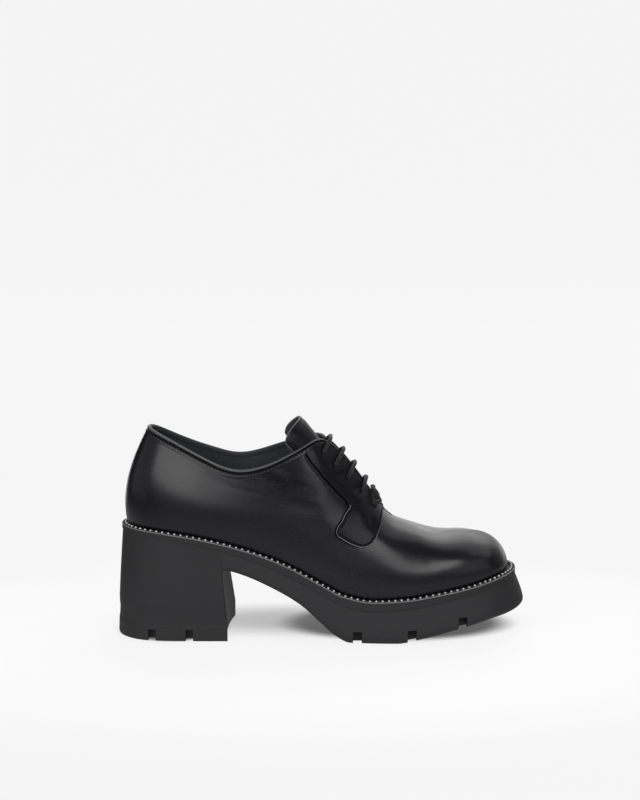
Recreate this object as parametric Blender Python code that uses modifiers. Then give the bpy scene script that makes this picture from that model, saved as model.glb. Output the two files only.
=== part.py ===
"""Right-foot lace-up derby shoe on a block heel and a lugged platform sole.

The toe points along +X, the outer (lateral) side of the foot faces -Y and +Z is up.
Tables and sizes are in millimetres; meshes are written in metres.
"""

from collections import namedtuple

import bmesh
import bpy
import numpy as np

MM = 0.001

# Driving dimensions of the last
LAST_LENGTH = 241.1
BALL_WIDTH = 77.0
INSTEP_HEIGHT = 121.0
HEEL_SEAT_HEIGHT = 69.0
LAST_HEEL_X = -122.6
LAST_AXIS_Y = -2.6

# Driving dimensions of the upper
UPPER_WALL = 1.8
SEAM_GAP = 0.3
EYESTAY_THICKNESS = 1.2
TONGUE_THICKNESS = 2.0
INSOLE_THICKNESS = 2.5
LACE_DIAMETER = 2.4
LACE_CLEARANCE = 0.6

# Driving dimensions of the sole
BAND_HEIGHT = 4.6
SOLE_LEDGE = 3.0
TOE_WELT = 1.7
TOP_PIECE_HEIGHT = 10.3
HEEL_BREAST_X = -61.6
HEEL_BREAST_LEAN = 4.2
HEEL_BREAST_HOLLOW = 2.4
BEAD_CHAIN_DIAMETER = 1.5
BEAD_CHAIN_OFFSET = 1.15

# Points across the width between the side walls of a sole section
ACROSS = 5

# One row for each section of the last, from the back seam round to the toe tip. A section is a
# column of the upper that rises from the feather edge to the top edge of the wall:
# along, top_along    shares of LAST_LENGTH, from the heel
# lateral, medial     distances of the feather edge from the axis, shares of BALL_WIDTH
# low_out, low_up     pull of the wall just above the feather edge, mm
# top_half            half width between the top edges, share of BALL_WIDTH
# top_height          share of INSTEP_HEIGHT, above the floor
# medial_lift         how much higher the medial top edge is, mm
# high_out, high_drop pull of the wall just below its top edge, mm
# flare               spread of the sole's side wall at the floor, mm
Section = namedtuple(
    "Section",
    "along lateral medial low_out low_up top_along top_half top_height medial_lift high_out high_drop flare",
)
SECTIONS = (
    Section(0.000, 0.000, 0.000, 4.8, 24, 0.058, 0.000, 1.078, 0.0, 9.0, 18, 2.4),
    Section(0.025, 0.205, 0.208, 5.2, 23, 0.076, 0.172, 1.064, -0.6, 7.0, 18, 4.4),
    Section(0.089, 0.328, 0.334, 5.0, 20, 0.147, 0.290, 0.999, -1.4, 4.6, 16, 2.6),
    Section(0.176, 0.362, 0.358, 4.5, 17, 0.226, 0.324, 0.918, 1.5, 4.0, 14, 1.4),
    Section(0.271, 0.366, 0.325, 4.5, 18, 0.300, 0.328, 0.873, 3.8, 4.0, 14, 1.2),
    Section(0.366, 0.364, 0.295, 5.0, 22, 0.387, 0.288, 0.910, 5.0, 6.5, 18, 1.4),
    Section(0.458, 0.384, 0.325, 5.0, 26, 0.470, 0.222, 0.994, 1.5, 9.0, 20, 1.8),
    Section(0.540, 0.418, 0.400, 4.5, 27, 0.524, 0.104, 1.000, 0.0, 18.0, 17, 2.4),
    Section(0.623, 0.454, 0.478, 4.5, 26, 0.598, 0.060, 0.839, 0.0, 21.0, 13, 2.8),
    Section(0.702, 0.468, 0.522, 4.5, 22, 0.673, 0.045, 0.640, 0.0, 24.0, 3, 3.2),
    Section(0.780, 0.464, 0.532, 4.0, 20, 0.735, 0.000, 0.568, 0.0, 28.0, 0, 3.8),
    Section(0.859, 0.432, 0.510, 3.5, 20, 0.797, 0.000, 0.524, 0.0, 28.0, 0, 5.0),
    Section(0.925, 0.355, 0.448, 3.0, 17, 0.847, 0.000, 0.525, 0.0, 25.0, 0, 6.0),
    Section(0.978, 0.195, 0.310, 2.0, 11, 0.880, 0.000, 0.526, 0.0, 19.0, 0, 6.2),
    Section(1.000, -0.055, 0.055, 1.0, 10, 0.900, 0.000, 0.526, 0.0, 16.0, 0, 5.6),
)
TOE = len(SECTIONS) - 1
THROAT_END = 9

# Height of the feather edge above the floor, along the shoe
Level = namedtuple("Level", "x z")
FEATHER_EDGE = (
    Level(-125, 1.000 * HEEL_SEAT_HEIGHT),
    Level(-100, 0.969 * HEEL_SEAT_HEIGHT),
    Level(-80, 0.927 * HEEL_SEAT_HEIGHT),
    Level(-60, 0.864 * HEEL_SEAT_HEIGHT),
    Level(-40, 0.777 * HEEL_SEAT_HEIGHT),
    Level(-20, 0.663 * HEEL_SEAT_HEIGHT),
    Level(0, 0.513 * HEEL_SEAT_HEIGHT),
    Level(15, 0.410 * HEEL_SEAT_HEIGHT),
    Level(32, 0.370 * HEEL_SEAT_HEIGHT),
    Level(50, 0.384 * HEEL_SEAT_HEIGHT),
    Level(70, 0.430 * HEEL_SEAT_HEIGHT),
    Level(90, 0.485 * HEEL_SEAT_HEIGHT),
    Level(110, 0.550 * HEEL_SEAT_HEIGHT),
    Level(125, 0.592 * HEEL_SEAT_HEIGHT),
)

# Height of the tread under the waist and the forefoot, along the shoe
TREAD = (
    Level(-62, 45.6),
    Level(-49, 41.6),
    Level(-30, 33.0),
    Level(-13, 23.0),
    Level(0, 11.6),
    Level(8, 4.6),
    Level(18, 0.0),
    Level(46, 0.0),
    Level(62, 3.0),
    Level(88, 9.6),
    Level(110, 14.6),
    Level(130, 17.6),
)

# Side notches of the tread: middle of each notch along the shoe
FOREFOOT_NOTCHES = (22.2, 55.6, 86.6)
HEEL_NOTCHES = (-104.8, -81.5)
FOREFOOT_NOTCH_LENGTH = 5.4
FOREFOOT_NOTCH_HEIGHT = 8.0
HEEL_NOTCH_LENGTH = 4.6
HEEL_NOTCH_HEIGHT = 7.2
NOTCH_REACH = 7.0

# Outline of the eyestay seen from the side: x along the shoe, z above the floor
EyestayPoint = namedtuple("EyestayPoint", "x z")
EYESTAY_OUTLINE = (
    EyestayPoint(-15.4, 121.1),
    EyestayPoint(1.7, 100.5),
    EyestayPoint(15.6, 85.6),
    EyestayPoint(17.1, 83.3),
    EyestayPoint(14.4, 79.0),
    EyestayPoint(9.4, 70.2),
    EyestayPoint(8.9, 67.6),
    EyestayPoint(9.8, 66.0),
    EyestayPoint(12.4, 64.2),
    EyestayPoint(22.4, 59.3),
    EyestayPoint(25.6, 58.7),
    EyestayPoint(30.0, 60.2),
    EyestayPoint(33.6, 64.0),
    EyestayPoint(36.0, 69.2),
    EyestayPoint(37.6, 74.0),
    EyestayPoint(38.2, 79.6),
    EyestayPoint(43.0, 91.0),
    EyestayPoint(10.0, 132.0),
)

# Lace bars: the lower end beside the eyelet and the ridge of the bar, seen from the side
LaceBar = namedtuple("LaceBar", "hole_x hole_z")
LACE_BARS = (
    LaceBar(1.1, 115.8),
    LaceBar(8.5, 107.5),
    LaceBar(16.4, 99.6),
    LaceBar(25.2, 90.8),
    LaceBar(32.2, 82.6),
)


def monotone(knots, heights, x):
    """Smooth curve through heights at the knots that never overshoots them, read at x."""
    knots, heights = np.asarray(knots, float), np.asarray(heights, float)
    steps = np.diff(knots)
    slopes = np.diff(heights) / steps
    same_way = slopes[:-1] * slopes[1:] > 0
    near, far = np.where(same_way, slopes[:-1], 1.0), np.where(same_way, slopes[1:], 1.0)
    weight_near, weight_far = 2 * steps[1:] + steps[:-1], steps[1:] + 2 * steps[:-1]
    middle = (weight_near + weight_far) / (weight_near / near + weight_far / far)
    tangents = np.concatenate([slopes[:1], np.where(same_way, middle, 0.0), slopes[-1:]])
    i = np.clip(np.searchsorted(knots, x) - 1, 0, len(steps) - 1)
    s = (x - knots[i]) / steps[i]
    return (
        heights[i] * (1 + 2 * s) * (1 - s) ** 2
        + heights[i + 1] * s**2 * (3 - 2 * s)
        + steps[i] * (tangents[i] * s * (1 - s) ** 2 + tangents[i + 1] * s**2 * (s - 1))
    )


def level_at(levels, x):
    """Height of a table of levels at x along the shoe."""
    return monotone([level.x for level in levels], [level.z for level in levels], x)


def closed_spline(values, t):
    """Cubic curve through rows of values spaced one apart on a closed loop, read at t."""
    count = len(values)
    matrix = 4 * np.eye(count) + np.roll(np.eye(count), 1, 0) + np.roll(np.eye(count), -1, 0)
    ahead, behind = np.roll(values, -1, 0), np.roll(values, 1, 0)
    bends = np.linalg.solve(matrix, 6 * (ahead - 2 * values + behind))
    t = np.mod(t, count)
    i = np.floor(t).astype(int) % count
    j = (i + 1) % count
    b = (t - np.floor(t))[..., None]
    a = 1 - b
    return a * values[i] + b * values[j] + ((a**3 - a) * bends[i] + (b**3 - b) * bends[j]) / 6


def loop_table():
    """The section rows as one closed loop: lateral side to the toe, medial side back."""
    rows = []
    for k in list(range(TOE + 1)) + list(range(TOE - 1, 0, -1)):
        row, medial = SECTIONS[k], len(rows) > TOE
        rows.append(
            (
                LAST_HEEL_X + row.along * LAST_LENGTH,
                (row.medial if medial else -row.lateral) * BALL_WIDTH,
                row.low_out,
                row.low_up,
                LAST_HEEL_X + row.top_along * LAST_LENGTH,
                (row.top_half if medial else -row.top_half) * BALL_WIDTH,
                row.top_height * INSTEP_HEIGHT,
                row.high_out,
                row.high_drop,
                row.flare,
                row.medial_lift if medial else 0.0,
            )
        )
    return np.array(rows, float)


LOOP = loop_table()
TURN = len(LOOP)


def feather(t, offset=0.0):
    """Feather edge of the last at loop place t, moved outward in plan by offset."""
    t = np.asarray(t, float)
    step = 1e-3
    here = closed_spline(LOOP, t)
    run = closed_spline(LOOP, t + step)[..., :2] - closed_spline(LOOP, t - step)[..., :2]
    run /= np.linalg.norm(run, axis=-1, keepdims=True)
    out = np.stack([run[..., 1], -run[..., 0]], -1)
    plan = here[..., :2] + out * np.asarray(offset, float)[..., None]
    height = level_at(FEATHER_EDGE, here[..., 0])
    return here, out, plan, height


def toe_welt(t):
    """How much further out the sole's edge stands at loop place t: most at the toe tip."""
    return TOE_WELT * np.exp(-(((np.mod(t, TURN) - TOE) / 1.1) ** 2))


def wall(t, v, offset=0.0):
    """Outer face of the upper: a cubic from the feather edge (v 0) to the top edge (v 1).

    In front of the throat the two sides are drawn together near their top edges, onto one ridge.
    """
    t, v = np.broadcast_arrays(np.asarray(t, float), np.asarray(v, float))
    here, out, plan, height = feather(t)
    side = np.where(np.mod(t, TURN) > TOE, 1.0, -1.0)
    closed = np.abs(np.mod(t, TURN) - TOE) <= TOE - THROAT_END - 0.34
    half = np.maximum(here[..., 5] * side, 0.0)
    foot = np.stack([plan[..., 0], plan[..., 1], height], -1)
    lift = np.where(closed, 0.0, here[..., 10])
    top = np.stack([here[..., 4], half * side, here[..., 6] + lift], -1)
    outward = np.concatenate([out, np.zeros_like(out[..., :1])], -1)
    up = np.array([0.0, 0.0, 1.0])
    low = foot + outward * here[..., 2:3] + up * here[..., 3:4]
    high = top + outward * here[..., 7:8] - up * here[..., 8:9]
    b = v[..., None]
    a = 1 - b
    face = a**3 * foot + 3 * a**2 * b * low + 3 * a * b**2 * high + b**3 * top
    face[..., 1] -= np.where(closed, half * side * v**10, 0.0)
    if np.any(offset):
        face = face + wall_normal(t, v) * np.asarray(offset, float)[..., None]
    return face


def wall_normal(t, v):
    """Outward direction of the upper's outer face."""
    step = 2e-3
    inside = np.clip(v, step, 1 - step)
    along = wall(t + step, inside) - wall(t - step, inside)
    rise = wall(t, inside + step) - wall(t, inside - step)
    normal = np.cross(along, rise)
    return normal / np.linalg.norm(normal, axis=-1, keepdims=True)


def wall_place(x, z, medial=False):
    """Loop place t and height share v of the wall point seen at x, z from the side."""
    t = np.linspace(0.2, TOE - 0.2, 160)[:, None] + np.zeros(60)
    t = TURN - t if medial else t
    v = np.linspace(0.0, 1.0, 60) + np.zeros_like(t)
    face = wall(t, v)
    x, z = np.asarray(x, float), np.asarray(z, float)
    miss = (face[..., 0] - x[..., None, None]) ** 2 + (face[..., 2] - z[..., None, None]) ** 2
    best = miss.reshape(x.shape + (-1,)).argmin(-1)
    t, v = t.ravel()[best], v.ravel()[best]
    step = 1e-3
    for _ in range(12):
        now = wall(t, v)[..., ::2]
        by_t = (wall(t + step, v)[..., ::2] - now) / step
        by_v = (wall(t, v + step)[..., ::2] - now) / step
        off = np.stack([x, z], -1) - now
        area = by_t[..., 0] * by_v[..., 1] - by_t[..., 1] * by_v[..., 0]
        t = t + np.clip((off[..., 0] * by_v[..., 1] - off[..., 1] * by_v[..., 0]) / area, -0.1, 0.1)
        v = v + np.clip((by_t[..., 0] * off[..., 1] - by_t[..., 1] * off[..., 0]) / area, -0.05, 0.05)
        v = np.clip(v, 0.0, 1.0)
    return t, v


def place_at(x):
    """Loop place on the lateral side whose feather edge lies at x along the shoe."""
    t = np.linspace(0, TOE, 600)
    return np.interp(x, closed_spline(LOOP, t)[:, 0], t)


def collection(name):
    group = bpy.data.collections.new(name)
    bpy.context.scene.collection.children.link(group)
    return group


def material(name, colour, roughness, metallic=0.0):
    made = bpy.data.materials.new(name)
    made.use_nodes = True
    shader = made.node_tree.nodes["Principled BSDF"]
    shader.inputs["Base Color"].default_value = (*colour, 1.0)
    shader.inputs["Roughness"].default_value = roughness
    shader.inputs["Metallic"].default_value = metallic
    return made


def body(name, points, faces, group, paint=None):
    """Mesh object from points in millimetres; doubled points are welded, faces turned outward."""
    mesh = bpy.data.meshes.new(name)
    moved = np.asarray(points, float).reshape(-1, 3) + np.array([0.0, LAST_AXIS_Y, 0.0])
    mesh.from_pydata((moved * MM).tolist(), [], [list(map(int, face)) for face in faces])
    shape = bmesh.new()
    shape.from_mesh(mesh)
    bmesh.ops.remove_doubles(shape, verts=shape.verts, dist=1e-6)
    bmesh.ops.dissolve_degenerate(shape, edges=shape.edges, dist=1e-7)
    bmesh.ops.recalc_face_normals(shape, faces=shape.faces)
    shape.to_mesh(mesh)
    shape.free()
    thing = bpy.data.objects.new(name, mesh)
    group.objects.link(thing)
    if paint:
        mesh.materials.append(paint)
    return thing


def grid_faces(rows, columns, wrap_columns=False):
    """Quads of a grid of points stored row after row."""
    last = columns if wrap_columns else columns - 1
    faces = []
    for r in range(rows - 1):
        for c in range(last):
            d = (c + 1) % columns
            faces.append((r * columns + c, r * columns + d, (r + 1) * columns + d, (r + 1) * columns + c))
    return faces


def loft(name, sections, group, paint, end_faces=()):
    """Closed body through closed sections; an end section that is a line welds shut."""
    sections = np.asarray(sections, float)
    rows, columns = sections.shape[:2]
    return body(name, sections, grid_faces(rows, columns, True) + list(end_faces), group, paint)


def cut(thing, cutter, operation="DIFFERENCE"):
    """Apply an exact Boolean of the cutter to the thing's mesh."""
    step = thing.modifiers.new("cut", "BOOLEAN")
    step.operation = operation
    step.solver = "EXACT"
    step.object = cutter
    view = bpy.context.evaluated_depsgraph_get()
    shaped = bpy.data.meshes.new_from_object(thing.evaluated_get(view))
    thing.modifiers.clear()
    thing.data = shaped


def box_cutter(name, low, high, group):
    """Box between two corners."""
    low, high = np.array(low, float), np.array(high, float)
    corners = [[(low, high)[(k >> n) & 1][n] for n in range(3)] for k in range(8)]
    faces = [(0, 1, 3, 2), (4, 6, 7, 5), (0, 4, 5, 1), (2, 3, 7, 6), (0, 2, 6, 4), (1, 5, 7, 3)]
    return body(name, corners, faces, group)


def across(lateral, medial, count):
    """Rows of points from each lateral point to the medial one, ends left out."""
    share = np.linspace(0, 1, count + 2)[1:-1, None]
    return lateral[:, None] * (1 - share) + medial[:, None] * share


def tube(path, radius, sides, closed):
    """Round tube along a path of points, and its faces; open ends are capped."""
    path = np.asarray(path, float)
    count = len(path)
    run = np.roll(path, -1, 0) - np.roll(path, 1, 0)
    if not closed:
        run[0], run[-1] = path[1] - path[0], path[-1] - path[-2]
    run /= np.linalg.norm(run, axis=1, keepdims=True)
    level = np.cross(run, [0.0, 0.0, 1.0])
    level /= np.linalg.norm(level, axis=1, keepdims=True)
    over = np.cross(level, run)
    turn = 2 * np.pi * np.arange(sides) / sides
    ring = np.cos(turn)[:, None] * level[:, None] + np.sin(turn)[:, None] * over[:, None]
    points = path[:, None] + radius * ring
    if closed:
        points = np.concatenate([points, points[:1]])
    faces = grid_faces(len(points), sides, True)
    if not closed:
        faces.append(tuple(range(sides)))
        faces.append(tuple(range((count - 1) * sides, count * sides)))
    return points, faces


# Side wall of the sole from its top edge down: share of the depth, share of the flare
SideRow = namedtuple("SideRow", "depth spread")
SIDE_WALL = (
    SideRow(0.00, 0.00),
    SideRow(0.30, 0.45),
    SideRow(0.58, 0.82),
    SideRow(0.80, 1.00),
    SideRow(0.95, 0.50),
    SideRow(1.00, -0.60),
)

# Edge of the midsole from its flat top outward and down: offset from the feather edge, height
EdgeRow = namedtuple("EdgeRow", "offset height")
MIDSOLE_EDGE = (
    EdgeRow(2.0, -SEAM_GAP),
    EdgeRow(2.3, 0.4),
    EdgeRow(3.0, 0.7),
    EdgeRow(3.5, 0.3),
    EdgeRow(3.5, 0.4 - BAND_HEIGHT),
    EdgeRow(3.0, -SEAM_GAP - BAND_HEIGHT),
)
INSOLE_EDGE = (
    EdgeRow(-3.4, INSOLE_THICKNESS),
    EdgeRow(-2.5, INSOLE_THICKNESS - 0.9),
    EdgeRow(-2.5, 0.0),
)


def heel_places():
    """Loop places of the sections through the heel, the breast last."""
    return np.linspace(0, place_at(HEEL_BREAST_X - 0.4), 13)


def sole_sections(sides, hollow_above, hollow_below):
    """Closed sections from side walls (lateral, medial): up one side, across, down, across.

    The lines across are drawn back by the hollows, most in the middle of the width.
    """
    lateral, medial = sides
    share = np.linspace(0, 1, ACROSS + 2)[1:-1]
    bow = 4 * share * (1 - share)
    above = across(lateral[:, 0], medial[:, 0], ACROSS)
    below = across(medial[:, -1], lateral[:, -1], ACROSS)
    above[..., 0] -= np.asarray(hollow_above)[:, None] * bow
    below[..., 0] -= np.asarray(hollow_below)[:, None] * bow
    return np.concatenate([lateral[:, ::-1], above, medial, below], 1)


def breast_faces(first, rows):
    """Faces that close the front of the heel: strips between the lines above and below."""
    count = 2 * rows + 2 * ACROSS
    top = [first + rows - 1 + k for k in range(ACROSS + 2)]
    bottom = [first] + [first + count - 1 - k for k in range(ACROSS + 1)]
    faces = [(top[k], top[k + 1], bottom[k + 1], bottom[k]) for k in range(1, ACROSS)]
    lateral_side = [first + k for k in range(rows)]
    medial_side = [first + rows + ACROSS + k for k in range(rows)]
    faces.append(tuple(lateral_side + [top[1], bottom[1]]))
    faces.append(tuple(medial_side + [bottom[ACROSS], top[ACROSS]]))
    return faces


def edge_sections(places, edge):
    """Closed sections of a plate that follows the feather edge, from its edge rows."""
    sides = []
    for loop_place in (places, TURN - places):
        rows = []
        for row in edge:
            welt = toe_welt(loop_place) if row.offset > 0 else np.zeros(len(places))
            plan, height = feather(loop_place, row.offset + welt)[2:]
            rows.append(np.column_stack([plan, height + row.height]))
        sides.append(np.stack(rows, 1))
    level = np.zeros(len(places))
    return sole_sections(sides, level, level)


def cut_notches(thing, x, length, low, high, cutters):
    """Cut a notch in from each side of the sole, NOTCH_REACH deep from the ledge."""
    for place in (place_at(x), TURN - place_at(x)):
        edge = feather(np.array([place]), np.array([SOLE_LEDGE]))[2][0, 1]
        ends = sorted((edge - np.sign(edge) * NOTCH_REACH, edge + np.sign(edge) * 20.0))
        corners = (x - length / 2, ends[0], low), (x + length / 2, ends[1], high)
        cut(thing, box_cutter("side_notch", *corners, cutters))


def make_sole_unit(group, cutters, paint):
    heel = heel_places()
    fore = np.linspace(place_at(HEEL_BREAST_X + 0.4), TOE, 27)
    places = np.concatenate([heel, fore])
    in_heel = np.arange(len(places)) < len(heel)
    lean, hollow = np.zeros(len(places)), np.zeros(len(places))
    breast = len(heel) - 1
    lean[breast], lean[breast + 1] = HEEL_BREAST_LEAN, 0.4
    hollow[breast : breast + 2] = HEEL_BREAST_HOLLOW
    sides = []
    for loop_place in (places, TURN - places):
        here, _, _, height = feather(loop_place)
        top = height - BAND_HEIGHT - 2 * SEAM_GAP
        foot = np.where(in_heel, TOP_PIECE_HEIGHT + SEAM_GAP, level_at(TREAD, here[:, 0]))
        rows = []
        for row in SIDE_WALL:
            spread = np.where(in_heel, max(row.spread, row.depth), row.spread)
            plan = feather(loop_place, SOLE_LEDGE + toe_welt(loop_place) + spread * here[:, 9])[2]
            x = plan[:, 0] + lean * row.depth
            rows.append(np.column_stack([x, plan[:, 1], top + (foot - top) * row.depth]))
        sides.append(np.stack(rows, 1))
    thing = loft("sole_unit", sole_sections(sides, np.zeros(len(places)), hollow), group, paint)
    for x in FOREFOOT_NOTCHES:
        floor = float(level_at(TREAD, np.array(x)))
        cut_notches(thing, x, FOREFOOT_NOTCH_LENGTH, floor - 5, floor + FOREFOOT_NOTCH_HEIGHT, cutters)
    return thing


def make_heel_top_piece(group, cutters, paint):
    places = heel_places()
    lean, hollow = np.zeros(len(places)), np.zeros(len(places))
    lean[-1], hollow[-1] = HEEL_BREAST_LEAN, HEEL_BREAST_HOLLOW
    sides = []
    for loop_place in (places, TURN - places):
        flare = feather(loop_place)[0][:, 9]
        rows = []
        for height, proud in ((TOP_PIECE_HEIGHT, 0.3), (1.2, 0.6), (0.0, -0.5)):
            plan = feather(loop_place, SOLE_LEDGE + flare + proud)[2]
            rows.append(np.column_stack([plan[:, 0] + lean, plan[:, 1], np.full(len(places), height)]))
        sides.append(np.stack(rows, 1))
    thing = loft(
        "heel_top_piece",
        sole_sections(sides, hollow, hollow),
        group,
        paint,
        breast_faces((len(places) - 1) * (6 + 2 * ACROSS), 3),
    )
    for x in HEEL_NOTCHES:
        cut_notches(thing, x, HEEL_NOTCH_LENGTH, -5.0, HEEL_NOTCH_HEIGHT, cutters)
    return thing


def make_bead_chain(group, paint):
    places = np.linspace(0, TURN, 65)[:-1]
    plan, height = feather(places, BEAD_CHAIN_OFFSET + toe_welt(places))[2:]
    path = np.column_stack([plan, height + BEAD_CHAIN_DIAMETER / 2])
    points, faces = tube(path, BEAD_CHAIN_DIAMETER / 2, 5, True)
    return body("bead_chain", points, faces, group, paint)


def make_upper(group, paint):
    places = np.arange(3 * TURN) / 3
    rows = np.linspace(0, 1, 11)
    points = wall(places[None, :], rows[:, None])
    thing = body("upper", points, grid_faces(len(rows), len(places), True), group, paint)
    skin = thing.modifiers.new("wall", "SOLIDIFY")
    skin.thickness = UPPER_WALL * MM
    skin.offset = -1.0
    skin.use_even_offset = True
    return thing


def make_eyestay(name, medial, group, cutters, paint):
    """Overlay between two copies of the upper's face, cut to its outline seen from the side."""
    columns, rows = 20, 11
    places = np.linspace(5.4, 10.2, columns)[None, :]
    places = TURN - places if medial else places
    share = np.linspace(0.30, 1.0, rows)[:, None]
    inner = wall(places, share, np.full((rows, columns), SEAM_GAP))
    outer = wall(places, share, np.full((rows, columns), SEAM_GAP + EYESTAY_THICKNESS))
    sheet = np.concatenate([inner, outer[::-1], inner[:1]])
    faces = grid_faces(2 * rows + 1, columns)
    for c in (0, columns - 1):
        edge = [r * columns + c for r in range(2 * rows)]
        faces += [(edge[r], edge[r + 1], edge[-r - 2], edge[-r - 1]) for r in range(rows - 1)]
    thing = body(name, sheet, faces, group, paint)
    near, far = (0.5, 60.0) if medial else (-60.0, -0.5)
    count = len(EYESTAY_OUTLINE)
    outline = [(p.x, y, p.z) for y in (near, far) for p in EYESTAY_OUTLINE]
    sides = [(k, (k + 1) % count, count + (k + 1) % count, count + k) for k in range(count)]
    ends = [tuple(range(count)), tuple(range(count, 2 * count))]
    cut(thing, body(name + "_outline", outline, sides + ends, cutters), "INTERSECT")
    return thing


# Tongue: ridge line in the middle plane, radius of the arch and its spread to each side
TongueRow = namedtuple("TongueRow", "x z radius spread")
TONGUE = (
    TongueRow(46.5, 67.6, 25.0, 34),
    TongueRow(39.0, 74.6, 22.0, 44),
    TongueRow(30.2, 85.8, 19.5, 54),
    TongueRow(20.2, 97.0, 17.6, 66),
    TongueRow(10.4, 108.2, 16.8, 78),
    TongueRow(1.6, 119.0, 17.0, 86),
    TongueRow(-6.2, 128.6, 18.0, 86),
    TongueRow(-12.9, 136.8, 19.0, 84),
)


def tongue_face(along, around):
    """Outer face of the tongue: an arch of changing radius swept up the ridge line.

    along runs from 0 under the vamp to 1 at the free end, around from -1 to 1 across it.
    """
    along = along * (1 + 0.012 * around - 0.02 * around**2 - 0.05 * around**8) * (len(TONGUE) - 1)
    knots = np.arange(len(TONGUE))
    x, z, radius, spread = (monotone(knots, column, along) for column in np.array(TONGUE).T)
    step = 1e-2
    rise_x = monotone(knots, [row.x for row in TONGUE], along + step) - x
    rise_z = monotone(knots, [row.z for row in TONGUE], along + step) - z
    length = np.hypot(rise_x, rise_z)
    angle = np.radians(spread) * around
    sag = radius * (1 - np.cos(angle))
    return np.stack([x - sag * rise_z / length, radius * np.sin(angle), z + sag * rise_x / length], -1)


def make_tongue(group, paint):
    along = np.linspace(0, 1, 14)[:, None]
    around = np.linspace(-1, 1, 13)[None, :]
    thing = body("tongue", tongue_face(along, around), grid_faces(14, 13), group, paint)
    skin = thing.modifiers.new("thickness", "SOLIDIFY")
    skin.thickness = TONGUE_THICKNESS * MM
    skin.offset = -1.0
    return thing


def make_lace_bar(number, bar, group, paint):
    """Lace bar over both eyestays and the throat, clear of them."""
    clear = SEAM_GAP + EYESTAY_THICKNESS + LACE_CLEARANCE + LACE_DIAMETER / 2
    edge = np.linspace(6.6, 9.3, 120)
    top = wall(edge, np.ones(120))
    edge_place = edge[np.hypot(top[:, 0] - bar.hole_x - 3.4, top[:, 2] - bar.hole_z - 6.4).argmin()]
    hole_place, hole_share = wall_place(np.array(bar.hole_x), np.array(bar.hole_z))
    share = np.linspace(0, 1, 4)
    places = hole_place + (edge_place - hole_place) * share
    rise = hole_share + (0.995 - hole_share) * share
    lateral = wall(places, rise, np.full(4, clear))
    medial = wall(TURN - places, rise, np.full(4, clear))
    middle = (lateral[-1] + medial[-1]) / 2 + np.array([0.5, 0.0, 0.5])
    path = np.concatenate([lateral, [middle], medial[::-1]])
    points, faces = tube(path, LACE_DIAMETER / 2, 8, False)
    return body(f"lace_bar_{number}", points, faces, group, paint)


def main():
    for thing in list(bpy.data.objects):
        bpy.data.objects.remove(thing, do_unlink=True)
    shoe = collection("derby_shoe")
    cutters = collection("cutters")
    rubber = material("sole_rubber", (0.035, 0.034, 0.035), 0.62)
    leather = material("upper_leather", (0.012, 0.012, 0.013), 0.32)
    lining = material("lining_leather", (0.03, 0.03, 0.032), 0.75)
    metal = material("bead_metal", (0.72, 0.72, 0.74), 0.22, 1.0)
    cord = material("lace_cord", (0.012, 0.012, 0.013), 0.8)

    make_sole_unit(shoe, cutters, rubber)
    make_heel_top_piece(shoe, cutters, rubber)
    loft("midsole", edge_sections(np.linspace(0, TOE, 35), MIDSOLE_EDGE), shoe, rubber)
    make_bead_chain(shoe, metal)
    loft("insole", edge_sections(np.linspace(0, TOE, 25), INSOLE_EDGE), shoe, lining)
    make_upper(shoe, leather)
    make_eyestay("eyestay_lateral", False, shoe, cutters, leather)
    make_eyestay("eyestay_medial", True, shoe, cutters, leather)
    make_tongue(shoe, leather)
    for number, bar in enumerate(LACE_BARS, 1):
        make_lace_bar(number, bar, shoe, cord)

    for cutter in cutters.objects:
        cutter.hide_render = True
        cutter.display_type = "WIRE"


main()
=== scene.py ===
"""Looks of a right-foot lace-up derby shoe with a bead chain, a block heel and a lugged rubber sole.

The toe points along +X, the lateral side faces -Y and the camera, and +Z is up. Tables and sizes are in
millimetres, with y from the middle of the last; meshes are written in metres.
"""

from collections import namedtuple

import bmesh
import bpy
import numpy as np
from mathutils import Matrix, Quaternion, Vector


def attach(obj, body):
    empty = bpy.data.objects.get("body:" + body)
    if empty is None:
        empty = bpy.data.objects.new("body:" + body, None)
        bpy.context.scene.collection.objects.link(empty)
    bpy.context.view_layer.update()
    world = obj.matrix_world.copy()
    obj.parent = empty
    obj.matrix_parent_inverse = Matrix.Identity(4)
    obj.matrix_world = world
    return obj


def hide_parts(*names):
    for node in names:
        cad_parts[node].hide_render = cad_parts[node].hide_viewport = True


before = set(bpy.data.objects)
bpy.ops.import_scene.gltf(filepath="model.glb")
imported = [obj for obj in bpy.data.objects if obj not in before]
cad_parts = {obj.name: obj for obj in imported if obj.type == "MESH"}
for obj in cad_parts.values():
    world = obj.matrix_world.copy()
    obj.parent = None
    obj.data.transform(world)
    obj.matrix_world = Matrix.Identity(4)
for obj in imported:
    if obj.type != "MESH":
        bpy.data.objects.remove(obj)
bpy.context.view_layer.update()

MM = 0.001
# Farther off than any part of the shoe, in millimetres
FAR = 999.0

# The last
LAST_LENGTH = 241.1
BALL_WIDTH = 77.0
INSTEP_HEIGHT = 121.0
HEEL_SEAT_HEIGHT = 69.0
LAST_HEEL_X = -122.6
LAST_AXIS_Y = -2.6

# The upper
UPPER_WALL = 1.8
EYESTAY_THICKNESS = 1.2
TONGUE_THICKNESS = 2.0
INSOLE_THICKNESS = 2.5
LACE_RADIUS = 1.2
LOW_BAR_BOW = 0.17
LOW_BAR_LIFT = 2.6
TUCK_HEIGHT = 4.5
TUCK_DEPTH = 1.4
ROLL_ROOM = 0.8
LACE_DEPTH = 3.4
# Loop place where the facing's rear seam meets the topline
EYESTAY_TOP = 6.0
# Millimetres on the facing for one loop step and for the whole height
FACING_SIZE = (18.0, 85.0)
# Share of the height over which the rise at the top edge is measured
TOP_STEP = 0.06

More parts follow.
